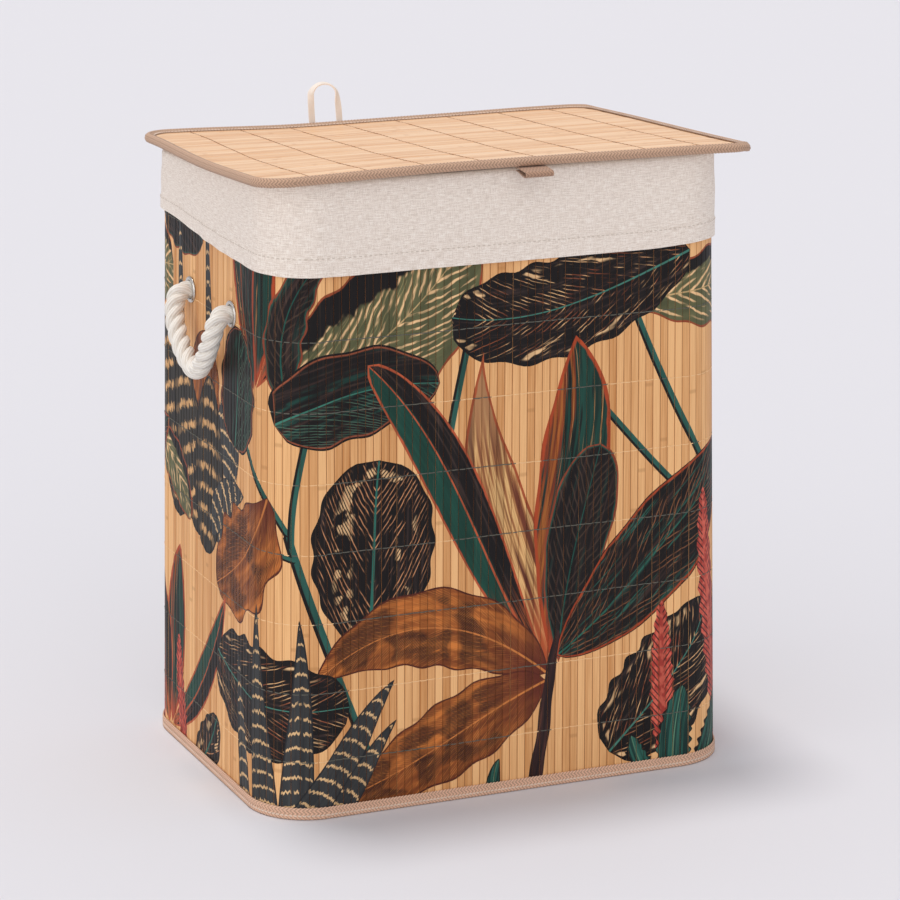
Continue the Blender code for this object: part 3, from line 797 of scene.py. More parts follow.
class WallPaint(Paint):
    """Slats of the curtain: fibres run up the wall."""

    def __init__(self, name):
        super().__init__("print_" + name, 0.5, Specular_IOR_Level=0.18)
        self.tone, self.reach_out, self.height = self.corners("slat")
        self.fibres = self.noise(self.position(820, 820, 11), 3.0, 0.6)
        broad = self.noise(self.position(131.2, 131.2, 1.76))
        mixed = self.tone * 0.42 + self.fibres * 0.70 + broad * 0.35
        self.wood = self.ramp(mixed, (0.40, (194, 131, 75)), (0.92, (240, 188, 131)))

    def finish(self, colour, gap_shade_share, gap_shade_colour):
        """The material, with painted shade at the gaps between the slats."""
        # Painted shade: each slat's face darkens at its edges, in the gaps between the slats.
        seam = self.reach_out.step(0.88, 0.97)
        return self.done(self.mix(seam * gap_shade_share, colour, gap_shade_colour), self.fibres, 0.00012, 0.7)


def bare_bamboo():
    p = WallPaint("bare")
    knot = p.math("FRACT", p.height * 3.7 + p.tone * 9.0)
    wood = p.mix(abs(knot - 0.5).step(0.002, 0.009, 0.35, 0.0), p.wood, (168, 116, 66))
    # Painted shade of the gaps between the slats, in this share and colour.
    return p.finish(wood, 0.62, (132, 78, 38))


class LeafPaint(WallPaint):
    """Ink on the slats, with the print's own measures to draw by."""

    def __init__(self, name):
        super().__init__(name)
        self.along, self.across, self.edge = self.corners("leaf_metres")
        self.share, self.reach, self.seed = self.corners("leaf_share")
        self.off, self.far = abs(self.across), abs(self.reach)

    def lay(self, share, colour):
        """More ink, over what is there."""
        self.ink = self.mix(share, self.ink, colour)

    def drawn(self, lengthways, crossways, detail=2.0):
        """Noise stretched along the leaf, by scales per metre."""
        spot = (self.along * lengthways, self.across * crossways, self.seed * 40.0)
        return self.noise(spot, detail)

    def clumps(self, scale):
        return self.noise((self.along, self.across, self.seed), scale=scale)

    def veins(self, spacing, slant, width, curve=0.0, broken=0.45):
        """1 on brushed lines that leave the midrib and sweep towards the tip."""
        swept = self.off * slant + self.off * self.off * curve
        phase = (self.along - swept) * (1 / spacing) + self.clumps(55.0) * 1.1
        gaps = self.noise((phase * 0.7, self.off * 130.0, self.seed), 1.0)
        return self.lines(phase, width) * gaps.step(broken - 0.08, broken + 0.08)

    def rim(self, width, wobble=0.5):
        """1 in a band along the outline, of uneven width."""
        uneven = (self.noise((self.along, self.across), scale=90.0) - 0.5) * (width * wobble * 2)
        return (self.edge + uneven).step(width * 0.75, width * 1.25, 1.0, 0.0)

    def midrib(self, width):
        return (self.off * (self.share + 0.6)).step(width * 0.4, width * 0.6, 1.0, 0.0)

    def bars(self, spacing, width, ragged):
        """Pale bars across a blade, with torn edges."""
        torn = (self.drawn(60, 700, 3) - 0.5) * ragged
        phase = self.along * (1 / spacing) + torn + self.reach * self.reach * 0.25
        return self.lines(phase, width, 0.05) * self.drawn(34, 260).step(0.34, 0.42)

    def black_ground(self, low, brown):
        self.ink = self.mix(self.drawn(16, 360).step(low, 0.7), INK, brown)

    def dark_ground(self, teal=0.5):
        """Near black, with drawn-out brown and teal brush marks."""
        self.black_ground(0.52, (58, 42, 38))
        self.lay(self.drawn(14, 190, 3).step(0.55, 0.75) * teal, (32, 72, 64))


def printed(kind):
    """The material of one kind of leaf, whose ink is worn off some fibres."""
    p = LeafPaint(kind.__name__)
    kind(p)
    p.lay(p.fibres.step(0.56, 0.9, 0.0, 0.07), p.wood)
    shade = p.tone.step(0.0, 1.0, 0.82, 1.12)
    shaded = p.mix(1.0, p.ink, p.join(shade, shade, shade), "MULTIPLY")
    # Painted shade of the gaps between the slats, lighter over the ink.
    return p.finish(shaded, 0.32, (58, 46, 38))


def stem(p):
    p.ink = p.mix(p.drawn(40, 300), (26, 66, 60), (52, 104, 92))
    p.lay(p.reach.step(0.2, 0.4), INK)


def bark(p):
    p.ink = p.ramp(p.drawn(25, 420, 3), (0.35, (34, 24, 26)), (0.62, (62, 38, 36)),
                   (0.75, (100, 60, 48)))


def night(p):
    p.dark_ground()
    p.lay(p.veins(0.009, 1.6, 0.1) * 0.5, (92, 72, 58))
    p.lay(p.midrib(0.0011), TEAL)
    p.lay(p.rim(0.0026) * 0.6, (36, 92, 78))
    p.lay(p.rim(0.0014), (140, 66, 44))


def night_edge(p):
    p.dark_ground(0.8)
    p.lay(p.veins(0.0105, 2.6, 0.075, broken=0.5), (130, 84, 56))
    p.lay(p.midrib(0.0010), (36, 98, 82))
    p.lay(p.drawn(20, 500).step(0.6, 0.68), (40, 92, 80))
    p.lay(p.rim(0.0026), RUST)
    p.lay(p.rim(0.0009), INK)


def oval(p):
    p.dark_ground(0.6)
    p.lay(p.drawn(40, 240).step(0.54, 0.66) * p.reach.step(0.75, 0.2) * 0.6, TEAL)
    lower = p.reach.step(-0.15, 0.02, 0.7, 0.0)
    p.lay(p.veins(0.0062, 1.9, 0.12, 16.0, 0.46) * lower, (92, 124, 104))
    p.lay(p.midrib(0.0011), (60, 120, 104))
    p.lay(p.rim(0.0030, 0.2), (150, 80, 54))
    p.lay(p.rim(0.0018, 0.2), INK)


def veined(p):
    p.black_ground(0.55, (52, 40, 38))
    tint = p.mix(p.drawn(60, 60).step(0.4, 0.6), (140, 76, 50), (222, 176, 126))
    p.lay(p.veins(0.0072, 1.7, 0.09, 14.0, 0.55) * p.far.step(0.82, 0.95, 1.0, 0.0), tint)
    belt = p.far.step(0.60, 0.68) * p.far.step(0.84, 0.90, 1.0, 0.0)
    p.lay(p.veins(0.0190, 1.6, 0.34, 14.0, 0.60) * belt, CREAM)
    p.lay(p.midrib(0.0012), (66, 122, 108))
    p.lay(p.rim(0.0012), INK)


def calathea(p):
    p.black_ground(0.55, (52, 40, 38))
    fine = p.veins(0.0070, 1.4, 0.10, 10.0, 0.52) * p.far.step(0.86, 0.96, 1.0, 0.0)
    p.lay(fine, (200, 140, 98))
    belt = p.far.step(0.34, 0.44) * p.far.step(0.62, 0.76, 1.0, 0.0)
    p.lay(p.veins(0.0046, 1.3, 0.50, 10.0, 0.3) * belt * p.clumps(70.0).step(0.54, 0.60), CREAM)
    p.lay(p.midrib(0.0024), (44, 104, 92))
    p.lay(p.rim(0.0022), INK)


def olive(p):
    p.ink = p.mix(p.drawn(18, 160, 3), (72, 76, 52), (108, 108, 74))
    p.lay(p.veins(0.0120, 1.5, 0.20, 14.0, 0.48) * p.far.step(0.86, 0.7), CREAM)
    upper = p.reach.step(-0.3, 0.3, 0.0, 0.7)
    p.lay(p.veins(0.0060, 1.5, 0.11, 14.0, 0.5) * upper, (160, 142, 96))
    p.lay((p.reach + p.drawn(70, 40) * 0.5).step(0.78, 0.86), INK)
    p.lay(p.midrib(0.0012), (190, 160, 112))
    p.lay(p.rim(0.0018), (146, 70, 42))


def strap(p):
    p.ink = p.mix(p.drawn(14, 400).step(0.55, 0.7), INK, (60, 46, 42))
    green = p.mix(p.drawn(18, 420), (18, 46, 40), (30, 82, 68))
    p.lay((p.reach + p.drawn(10, 200) * 0.3).step(0.02, 0.16), green)
    p.lay(p.share.step(0.30, 0.02) * p.drawn(12, 620).step(0.42, 0.58), (176, 92, 52))
    p.lay(p.math("MAXIMUM", p.midrib(0.0016), p.rim(0.0018)), (178, 84, 52))


def flame(p):
    p.ink = p.ramp(p.drawn(8, 240, 3) * 0.85 + p.reach * 0.17, (0.26, (20, 46, 40)),
                   (0.38, (28, 70, 60)), (0.44, INK), (0.50, (24, 60, 52)),
                   (0.56, (120, 50, 30)), (0.64, (160, 96, 44)), (0.72, (172, 74, 38)))
    p.lay(p.drawn(7, 700).step(0.66, 0.70), (206, 148, 92))
    p.lay(p.share.step(0.22, 0.02), (180, 78, 44))
    p.lay(p.rim(0.0030), (170, 70, 38))


def flame_pale(p):
    p.ink = p.ramp(p.drawn(8, 200, 3), (0.36, (108, 56, 38)), (0.46, (170, 116, 72)),
                   (0.54, (226, 182, 122)), (0.62, (176, 128, 80)), (0.70, (92, 48, 36)))
    p.lay(p.share.step(0.62, 0.9), (166, 120, 82))
    p.lay(p.share.step(0.32, 0.02) * 0.8, (184, 82, 44))
    p.lay(p.rim(0.0022), (160, 78, 46))


def rust(p):
    p.ink = p.ramp(p.drawn(16, 130, 3), (0.35, (108, 54, 28)), (0.55, (154, 86, 40)),
                   (0.70, (200, 118, 54)))
    p.lay(p.veins(0.0040, 2.2, 0.2, broken=0.5) * 0.6, (204, 130, 66))
    zone = p.clumps(30.0).step(0.44, 0.52) * p.share.step(0.12, 0.3) * p.far.step(0.9, 0.7)
    p.lay(p.veins(0.0034, 2.8, 0.52, broken=0.30) * zone * 0.95, (30, 23, 22))
    p.lay(p.share.step(0.3, 0.0), (96, 42, 30))
    p.lay(p.midrib(0.0012), (196, 120, 62))
    p.lay(p.rim(0.0014), (84, 36, 26))


def blade(p):
    p.ink = p.mix(p.drawn(20, 420), (36, 38, 42), (70, 72, 72))
    p.lay(p.bars(0.0125, 0.13, 0.6), (218, 180, 132))
    p.lay(p.rim(0.0012), (38, 40, 44))


def banded(p):
    p.ink = p.mix(p.drawn(20, 300), INK, (56, 54, 48))
    p.lay(p.bars(0.0185, 0.24, 0.8) * p.far.step(0.5, 0.62, 1.0, 0.25), (214, 166, 112))
    p.lay(p.midrib(0.0022), INK)
    p.lay(p.rim(0.0024), INK)


def spike(p):
    p.ink = p.mix(p.drawn(160, 260).step(0.4, 0.6), (168, 60, 50), (206, 96, 78))
    teeth = (p.along - p.off * 1.3) * (1 / 0.0062)
    p.lay(p.lines(teeth, 0.16) * p.far.step(0.1, 0.4), (66, 34, 34))


def teal(p):
    p.ink = p.mix(p.drawn(14, 460).step(0.42, 0.62), (24, 52, 48), (44, 96, 84))
    p.lay(p.midrib(0.0012), (86, 128, 104))
    p.lay(p.rim(0.0010), INK)


KINDS = (stem, bark, night, night_edge, oval, veined, calathea, olive, strap, flame, flame_pale,
         rust, blade, banded, spike, teal)
KIND_NAMES = [kind.__name__ for kind in KINDS]


def thread_paint():
    p = Paint("wall_thread", 0.6)
    inked, travel, row = p.corners("cloth")
    fleck = p.noise((travel * 700.0, row))
    bare = p.mix(fleck, (226, 176, 120), (250, 212, 160))
    return p.done(p.mix(inked, bare, p.mix(fleck, (56, 66, 62), (112, 104, 90))))


# ---------------- materials of the other pieces

def tape_paint(name, base, stitched=-1.0, dark_side=0.0):
    """Woven tape: ridges with a painted highlight, hollows with painted shade, and a row of
    stitches along it at one place.
    """
    p = Paint(name, 0.92, Specular_IOR_Level=0.15, Sheen_Weight=0.15)
    along, across, _ = p.corners("cloth")
    slant = p.math("PINGPONG", across * (0.5 / TAPE_ROW), 0.5) * 1.8
    ridge = p.math("SINE", (along * (1 / TAPE_RIB) + slant) * (2 * math.pi))
    fleck = p.noise((along * 900.0, across * 900.0))
    dark = tuple(c * 0.50 for c in linear(base))
    light = tuple(min(c * 1.35, 1.0) for c in linear(base))
    # The ridge term paints a highlight on the ridges and shade in the hollows; the fleck is the
    # yarns' own mottle.
    weave = p.ramp(ridge * 0.25 + fleck * 0.5 + 0.3, (0.15, dark), (0.55, base), (0.95, light))
    seam = abs(across - stitched).step(0.0004, 0.0007, 1.0, 0.0)
    dashes = seam * p.lines(along * (1 / 0.0032), 0.62, 0.1)
    shade = across.step(stitched, stitched + 0.0016, 0.35 * dark_side, 0.0)
    weave = p.mix(dashes, p.mix(shade, weave, (96, 74, 62)), (226, 206, 188))
    return p.done(weave, ridge * 0.3 + fleck, 0.00018, 0.8)


def linen_paint(name):
    """Unbleached cloth with pale and grey yarns, thicker in places."""
    p = Paint(name, 0.95, Specular_IOR_Level=0.1, Sheen_Weight=0.12)
    along, down, _ = p.corners("cloth")
    weft, warp = p.noise((along * 130.0, down * 1250.0)), p.noise((along * 1250.0, down * 160.0))
    speck = p.noise((along * 1900.0, down * 2400.0, 4.0), 1.0)
    yarn = weft * 0.60 + warp * 0.40
    cloth = p.ramp(yarn, (0.36, (220, 207, 194)), (0.5, (238, 226, 214)), (0.62, (250, 242, 232)))
    cloth = p.mix(speck.step(0.55, 0.66, 0.0, 0.5), cloth, (176, 160, 150))
    return p.done(cloth, yarn, 0.00022, 0.7)


def lid_bamboo_paint():
    p = Paint("lid_bamboo_wood", 0.38, Specular_IOR_Level=0.4)
    tone, reach, along = p.corners("cloth")
    fibres = p.noise(p.position(9, 700, 700), 3.0, 0.6)
    broad = p.noise((along * 9.0, tone * 60.0, reach * 3.0))
    wood = p.ramp(tone * 0.22 + fibres * 0.80 + broad * 0.30, (0.40, (214, 158, 110)),
                  (0.64, (236, 192, 148)), (0.88, (250, 218, 182)))
    knot = p.math("FRACT", along * 3.1 + tone * 11.0)
    wood = p.mix(abs(knot - 0.5).step(0.003, 0.010, 0.30, 0.0), wood, (196, 138, 88))
    # Painted shade along the edges of each slat, at the gaps between the lid's slats.
    wood = p.mix(reach.step(0.90, 0.99, 0.0, 0.4), wood, (184, 124, 78))
    return p.done(wood, fibres, 0.00010, 0.6)


def rope_paint(name):
    """Cotton yarns laid along each strand, with painted shade between the yarns."""
    p = Paint(name, 0.95, Specular_IOR_Level=0.1, Sheen_Weight=0.3)
    along, turn, _ = p.corners("cloth")
    phase = turn * YARNS - along * (1 / YARN_PITCH)
    yarn = p.math("SINE", phase * (2 * math.pi))
    fibre = p.noise((along * 260.0, phase * 5.0), 3.0)
    # The yarn term paints shade in the grooves between the yarns and lighter crests; the fibre
    # noise is the cotton's own mottle.
    cotton = p.ramp(yarn * 0.12 + fibre * 0.75 + 0.16, (0.2, (206, 194, 178)),
                    (0.5, (232, 226, 216)), (0.85, (248, 245, 239)))
    return p.done(cotton, yarn + fibre, 0.00014, 0.8)


def loop_paint():
    p = Paint("loop_cotton", 0.9)
    across, along, _ = p.corners("cloth")
    rib = p.math("SINE", across * (2 * math.pi / 0.0008))
    fleck = p.noise((across * 1400.0, along * 700.0))
    return p.done(p.mix(fleck, (246, 228, 212), (255, 248, 238)), rib + fleck, 0.00016, 0.8)


def metal_paint(name):
    p = Paint(name, 0.3, Metallic=1.0)
    haze = p.noise(p.position(), 3.0, scale=260.0)
    p.feed(p.shader, "Roughness", haze.step(0.3, 0.7, 0.22, 0.36))
    return p.done(p.mix(haze, (190, 186, 180), (222, 219, 214)))


def plain_paint(name, base, light, scale):
    """A dull surface mottled between two colours."""
    p = Paint(name, 0.9)
    fleck = p.noise(p.position(), 3.0, 0.6, scale)
    return p.done(p.mix(fleck, base, light), fleck, 0.0002, 0.6)


# ---------------- bindings and lid

def lid_warp(points):
    """The soft lid's shape, in its own frame: the rear left corner is drawn in and up, the front
    edge bows up and the right end hangs over."""
    points = np.array(points, float)
    x, y = points[..., 0], points[..., 1]
    rear_left = smooth(0.06, LID_HALF.x, -x) * smooth(-0.20, 0.0, y)
    front = 1 - smooth(-0.31, -0.18, y)
    points[..., 2] += 0.0030 * rear_left - 0.0026 * smooth(0.204, LID_HALF.x, x)
    points[..., 2] += 0.0026 * front * (1 - (x / LID_HALF.x) ** 2)
    points[..., 2] += 0.0007 * waves(points * (1, 1, 0), (9, 9, 1), 3)
    points[..., 0] += 0.0085 * rear_left
    return points


def lid_to_world(points):
    """From the lid's own frame to the shared frame."""
    turn = np.array(Matrix.Rotation(-LID_TILT, 3, "X"))
    return np.asarray(points) @ turn.T + np.array(HINGE)


def on_lid(points):
    return lid_to_world(lid_warp(points))


def herringbone(along, across):
    slant = abs((across / TAPE_ROW / 2) % 1 - 0.5) * 2
    return np.sin(2 * math.pi * (along / TAPE_RIB + slant * 0.9)) * (0.55 + 0.45 * np.cos(
        2 * math.pi * across / TAPE_ROW))


def build_edge_tape(name, paint, body, node, loop, profile, spacing, z=0.0, place=np.asarray):
    """A woven tape along a loop. The closed profile holds (offset, height) points, and small
    herringbone ridges stand out of it."""
    line = resampled(np.concatenate((profile, profile[:1])), spacing)[:-1]
    following = np.roll(line, -1, axis=0)
    edge = following - np.roll(line, 1, axis=0)
    area = (line[:, 0] * following[:, 1] - following[:, 0] * line[:, 1]).sum()
    normal = unit(np.stack((edge[:, 1], -edge[:, 0]), 1)) * np.sign(area)
    along, down = travel_along(loop.ring(0, z), closed=True), travel_along(line, closed=True)
    ridge = herringbone(along[None, :-1], down[:-1, None]) * TAPE_RELIEF
    out = (line[:, 0, None] + ridge * normal[:, :1])[..., None]
    rings = loop.ring(0, z) + out * loop.outward
    rings[..., 2] += line[:, 1, None] + ridge * normal[:, 1:]
    mesh = Collector().grid(place(rings), numbers(along[None], down[:, None]),
                            wrap_rows=True, wrap_columns=True, turn=True)
    mesh.build(name, [paint], "woven_tape", body, [node], settled=body == "basket")


def build_bottom_binding():
    """The profile is in millimetres out from the slats' face and up."""
    profile = np.array([(-3.9, 9.8), (-4.4, 9.0), (-4.4, 0.8), (-3.8, 0.4), (0.9, 0.4),
                        (1.5, 0.8), (1.5, 9.0), (1.2, 10.3), (0.5, 10.4), (0.2, 9.5), (0.2, 1.1),
                        (-3.2, 1.1), (-3.2, 9.8)]) / 1000 + (FLARE, 0)
    paint = tape_paint("foot_tape_weave", (212, 172, 146), 0.0181)
    build_edge_tape("foot_tape", paint, "basket", "bottom_binding",
                    Loop(RIM_HALF, CORNER, TAPE_STEP), profile, 0.00062)


def build_lid_binding():
    """The profile is in metres in from the lid's edge and up, round the welt."""
    turns = np.linspace(math.radians(108), math.radians(-108), 15)
    profile = [(-0.0090, 0.00105), (-0.0090, 0.0017), (-0.0087, 0.0020), (-0.0064, 0.0026),
               *[(WELT * (math.cos(a) - 1), WELT * math.sin(a)) for a in turns],
               (-0.0064, -0.0031), (-0.0087, -0.0028), (-0.0090, -0.0024), (-0.0090, -0.0021),
               (-0.0053, -0.0021), (-0.0053, 0.00105)]
    paint = tape_paint("lid_tape_weave", (186, 153, 129), 0.0017, 1.0)
    loop = Loop(LID_HALF, LID_RADIUS, TAPE_STEP, LID_CENTRE_Y)
    build_edge_tape("lid_edge_tape", paint, "lid", "lid_binding", loop, profile, 0.00066, LID_MID,
                    on_lid)


def lid_reach(y):
    """Half length of the lid's slats at y, shorter within the rounded corners."""
    into = np.maximum(abs(y - LID_CENTRE_Y) - (LID_HALF.y - LID_RADIUS), 0)
    radius = LID_RADIUS - LID_INSET
    return LID_HALF.x - LID_RADIUS + np.sqrt(np.maximum(radius ** 2 - into ** 2, 0))


def build_lid_slats():
    mesh = Collector()
    stations = np.linspace(-1, 1, 37)[:, None]
    ends = np.concatenate((COLUMNS, COLUMNS[::-1]))
    for y in LID_ROWS:
        tone, lean, bow = rng.random(), rng.normal(0, LID_SLAT_LEAN), rng.normal(0, LID_SLAT_BOW)
        tops = 0.0010 - CROWN + lean * COLUMNS * LID_SLAT_HALF + bow
        across = y + ends * LID_SLAT_HALF
        height = LID_MID + np.concatenate((tops, np.full(6, -0.0010)))
        points = on_lid(numbers(stations * lid_reach(across), across, height))
        measure = numbers(tone, abs(np.append(ends, ends[0])), stations * LID_HALF.x)
        mesh.grid(points, measure, wrap_columns=True, turn=True)
        mesh.caps(points, measure, turn=True)
    mesh.build("lid_bamboo", [lid_bamboo_paint()], "plain_bamboo", "lid", ["lid_slats"], angle=30)


def build_lid_stitches():
    mesh = Collector()
    y = LID_ROWS[:, None]
    height = LID_MID + 0.00104 - CROWN * np.where(abs(COLUMNS) < 1, 1.0, 1.8)
    for number, x in enumerate(LID_STITCHES):
        line = numbers(x + 0.0003 * np.sin(90 * y + number), y + COLUMNS * LID_SLAT_HALF, height)
        mesh.tube(on_lid(line.reshape(-1, 3)), 0.00033, 6)
    paint = plain_paint("lid_thread", (104, 62, 38), (184, 128, 86), 900.0)
    mesh.build("lid_stitching", [paint], "plain_bamboo", "lid")


def build_lid_lining():
    half = (LID_HALF.x - LID_INSET, LID_HALF.y - LID_INSET)
    loop = Loop(half, LID_RADIUS - LID_INSET, 0.008, LID_CENTRE_Y)
    centre = np.array((0, LID_CENTRE_Y, LID_MID - 0.00165))
    outer = loop.ring(0, centre[2])
    middle = centre + (outer - centre) * np.linspace(1, 0.0005, 34)[:, None, None]
    middle[..., 2] -= 0.0002 + 0.0002 * waves(middle * (1, 1, 0), (26, 26, 1), 11)
    middle = lid_warp(middle)
    measure = np.concatenate((middle, middle[:, :1]), 1)
    mesh = Collector().sheet(lid_to_world(middle), 0.0007, measure, wrap=True)
    obj = mesh.build("lid_lining_cloth", [linen_paint("lid_linen")], "linen_cloth", "lid",
                     ["lid_lining"])


def ribbon(path, width, columns, direction=(1.0, 0, 0)):
    """Middle surface and measures of a flat tape along a path."""
    across = np.linspace(-width / 2, width / 2, columns)
    middle = path[:, None] + np.broadcast_to(direction, path.shape)[:, None] * across[:, None]
    return middle, numbers(across + width / 2, travel_along(path)[:, None])


def build_pull_tab():
    front, top, reach = LID_CENTRE_Y - LID_HALF.y, LID_MID - WELT - 0.0007, 0.012
    route = [(0.5, 0.0), (0.0, -0.0005), (-0.5, -0.0016), (-0.9, -0.0024), (-1.04, -0.0042),
             (-0.9, -0.0062), (-0.5, -0.0056), (0.0, -0.0036), (0.5, -0.0024)]
    path = smooth_route([(0.012, front + a * reach, top + z) for a, z in route], 0.0008)
    middle, measure = ribbon(path, 0.024, 21)
    middle = lid_warp(middle)
    middle[..., 2] += herringbone(measure[..., 0], measure[..., 1]) * 0.0001
    mesh = Collector().sheet(lid_to_world(middle), 0.0009, measure)
    obj = mesh.build("pull_tab_tape", [tape_paint("tab_weave", (168, 134, 112))], "woven_tape",
                     "lid", ["lid_pull_tab"])


def build_loop():
    """A flat tape that stands up from the lid's rear edge and turns over at its top."""
    half = (LOOP_WIDTH - LOOP_TAPE) / 2
    shoulder = LOOP_HEIGHT - half * 0.95 - 0.001
    route = [(-half, 0), (-half, shoulder * 0.5), (-half * 0.97, shoulder)]
    route += [(-half * math.cos(a), shoulder + half * 0.95 * math.sin(a))
              for a in np.linspace(0.35, math.pi - 0.35, 9)]
    route += [(half * 0.97, shoulder), (half, shoulder * 0.5), (half, 0)]
    path = smooth_route([(LOOP_X + x, 0.0094 + 0.13 * z, LID_MID + z) for x, z in route], 0.0012)
    share = np.linspace(0, 1, len(path))[:, None]
    turned = smooth(0.18, 0.42, share) * (1 - smooth(0.56, 0.86, share)) * math.radians(78)
    flat = np.cross(unit(np.gradient(path, axis=0)), (0.0, 1.0, 0.0))
    direction = flat * np.cos(turned) + np.array((0, 1.0, 0)) * np.sin(turned)
    middle, measure = ribbon(path, LOOP_TAPE, 9, direction)
    measure[..., 0] -= LOOP_TAPE / 2
    mesh = Collector().sheet(lid_to_world(middle), LOOP_THICK, measure)
    mesh.build("loop_tape", [loop_paint()], "cream_tape", "lid", ["lid_loop"])


def build_hinge_strip():
    """The cloth hinge, from the back of the cuff up and in under the lid."""
    rear = HALF_DEPTH + CUFF_OUT + 0.0013
    tucked = lid_to_world([(0, y, LID_MID - 0.0030) for y in (-0.0015, -0.008, -0.016, -0.024)])
    route = [(0, rear, 0.4700), (0, rear, 0.4790), (0, rear + 0.0003, 0.4880),
             (0, rear + 0.0016, 0.4960), (0, rear + 0.0012, 0.5018), *tucked]
    path = smooth_route(route, 0.0015)
    middle, measure = ribbon(path, 0.300, 101)
    local = middle - np.array(HINGE)
    under_lid = 1 - smooth(-0.008, -0.003, local[..., 1:2])
    mesh = Collector().sheet(middle + under_lid * (lid_warp(local) - local), 0.0006, measure)
    bend = ("basket", "lid", (0, 0.1462, 0.4930), (0, 0.1462, 0.5030))
    obj = mesh.build("hinge_strip", [tape_paint("hinge_weave", (168, 134, 112))], "woven_tape",
                     bend, ["hinge_tape_basket", "hinge_tape_lid"])


# ---------------- liner

def liner_rows(rim, bag):
    """The liner's middle surface from the bag's floor up, over the rim and down the cuff."""
    rows = [bag.ring(-BAG_FOOT, BAG_FLOOR) * (share, share, 1)
            for share in np.linspace(0.0005, 0.93, FLOOR_ROWS)]
    rows += [bag.ring(-BAG_FOOT * (1 - math.sin(a)), BAG_FLOOR + BAG_FOOT * (1 - math.cos(a)))
             for a in np.linspace(0, math.pi / 2, FOOT_ROWS)]
    rows += [bag.ring(0, z)
             for z in np.linspace(BAG_FLOOR + 0.014, BAG_SHOULDER - 0.006, SIDE_ROWS)]
    inner = -RIM_INSET - CLOTH / 2
    for share in np.linspace(0, 1, SHOULDER_ROWS):
        ease = smooth(0, 1, share)
        z = BAG_SHOULDER + (BAG_RIM - BAG_SHOULDER) * share
        rows.append(bag.ring(0, z) * (1 - ease) + rim.ring(inner, z) * ease)
    x, y = rim.ring(0, 0)[:, :2].T
    # just under the tilted lid
    top = HINGE.z + FOLD_CLEAR + LID_TILT * (HINGE.y - y) - 0.0003
    rows += [rim.ring(inner, BAG_RIM + (top - 0.0035 - BAG_RIM) * share) for share in (0.35, 0.7)]
    rows += [rim.ring(-0.0017 + 0.0036 * math.cos(a), top - 0.0036 + 0.0030 * math.sin(a))
             for a in np.linspace(math.pi, 0, FOLD_ROWS)]
    # The hem runs a little higher towards the rear left and at the front right corner.
    left = smooth(0.10, 0.19, -x) * smooth(-0.12, 0.10, y)
    right = smooth(0.12, 0.19, x) * smooth(0.08, 0.14, -y)
    hem = HEM_Z + 0.0085 * left + 0.003 * right + 0.0008 * np.sin(x * 40) * np.cos(y * 33)
    rows += [rim.ring(0.0019 + 0.0005 * share, top - 0.0036 + (hem - top + 0.0036) * share)
             for share in np.linspace(0.05, 1, CUFF_ROWS)]
    return np.array(rows)


def build_liner():
    rim = Loop(RIM_HALF, CORNER, 0.0042)
    middle = liner_rows(rim, Loop(BAG_HALF, BAG_RADIUS, rim.steps))
    rows = len(middle)
    side = FLOOR_ROWS + FOOT_ROWS
    starts = (FLOOR_ROWS - 2, side - 1, side + SIDE_ROWS - 3, rows - CUFF_ROWS + 2)
    off_floor, on_side, past_side, cuff = [
        smooth(start, start + ROW_BLEND, np.arange(rows)[:, None]) for start in starts]
    folds = waves(middle, (13, 13, 3.2), 1) + 0.5 * waves(middle, (34, 34, 9), 2)
    creases = waves(middle, (60, 60, 22), 4)
    drawn_in = on_side * (1 - past_side) * (0.0030 + 0.0034 * folds + 0.0008 * creases)
    middle = middle - rim.outward * drawn_in[..., None]
    middle[..., 2] += (1 - off_floor) * (0.0016 + 0.0016 * waves(middle, (16, 16, 1), 6))
    loose = 0.6 + 1.2 * smooth(0.05, 0.2, -middle[..., 0])
    swell = 0.0005 + loose * (0.0009 * waves(middle, (15, 15, 30), 8)
                              + 0.0006 * waves(middle, (60, 60, 24), 9))
    middle = middle + rim.outward * (cuff * np.maximum(swell, 0.0))[..., None]
    down = travel_along(middle[:, 0])[:, None]
    measure = numbers(travel_along(rim.ring(0, 0), closed=True), down, down[-1] - down)
    thick = CLOTH + HEM * (np.arange(rows) >= rows - HEM_ROWS)
    mesh = Collector().sheet(middle, thick, measure, wrap=True)
    obj = mesh.build("liner_cloth", [linen_paint("liner_linen")], "linen_cloth", "basket",
                     ["liner"], settled=True)
    build_hem_stitches(middle[-HEM_ROWS])


def build_hem_stitches(ring):
    """A line of small stitches along the top of the hem's fold."""
    mesh = Collector()
    line = resampled(np.concatenate((ring, ring[:1])), 0.0011)
    outward = unit(np.cross(np.gradient(line, axis=0), (0.0, 0.0, 1.0)))
    for start in range(0, len(line) - 3, 4):
        three = slice(start, start + 3)
        mesh.tube(line[three] + outward[three] * [[0.0009], [0.0013], [0.0009]], 0.00034, 5)
    paint = plain_paint("hem_thread", (186, 174, 160), (226, 216, 204), 900.0)
    mesh.build("hem_stitches", [paint], "linen_cloth", "basket", settled=True)


# ---------------- handles

def rope_route(side):
    """The rope's centreline outside the wall, from the rear eyelet to the front one. Each place is
    a share of the way to the eyelet, metres out from the pivot and metres up."""
    pivot = HALF_WIDTH + flare_at(EYELET_Z) + PIVOT_OUT
    half = [(1.00, -0.0115, 0.0), (1.00, -0.0077, 0.0), (1.00, -0.0028, -0.0002),
            (1.005, 0.0014, -0.0025), (1.00, 0.0046, -0.0085), (0.90, 0.0068, -0.021),
            (0.68, 0.0072, -0.0360), (0.35, 0.0062, -0.0490), (0.0, 0.0052, -0.0550)]
    route = [(side * (pivot + out), HANDLE_Y + EYELET_HALF_SPACING * a, EYELET_Z + z)
             for a, out, z in half]
    route[:2] = [(settle(place)[0], *place[1:]) for place in route[:2]]
    front = [(x, 2 * HANDLE_Y - y, z) for x, y, z in reversed(route[:-1])]
    return smooth_route(route + front, 0.0011)


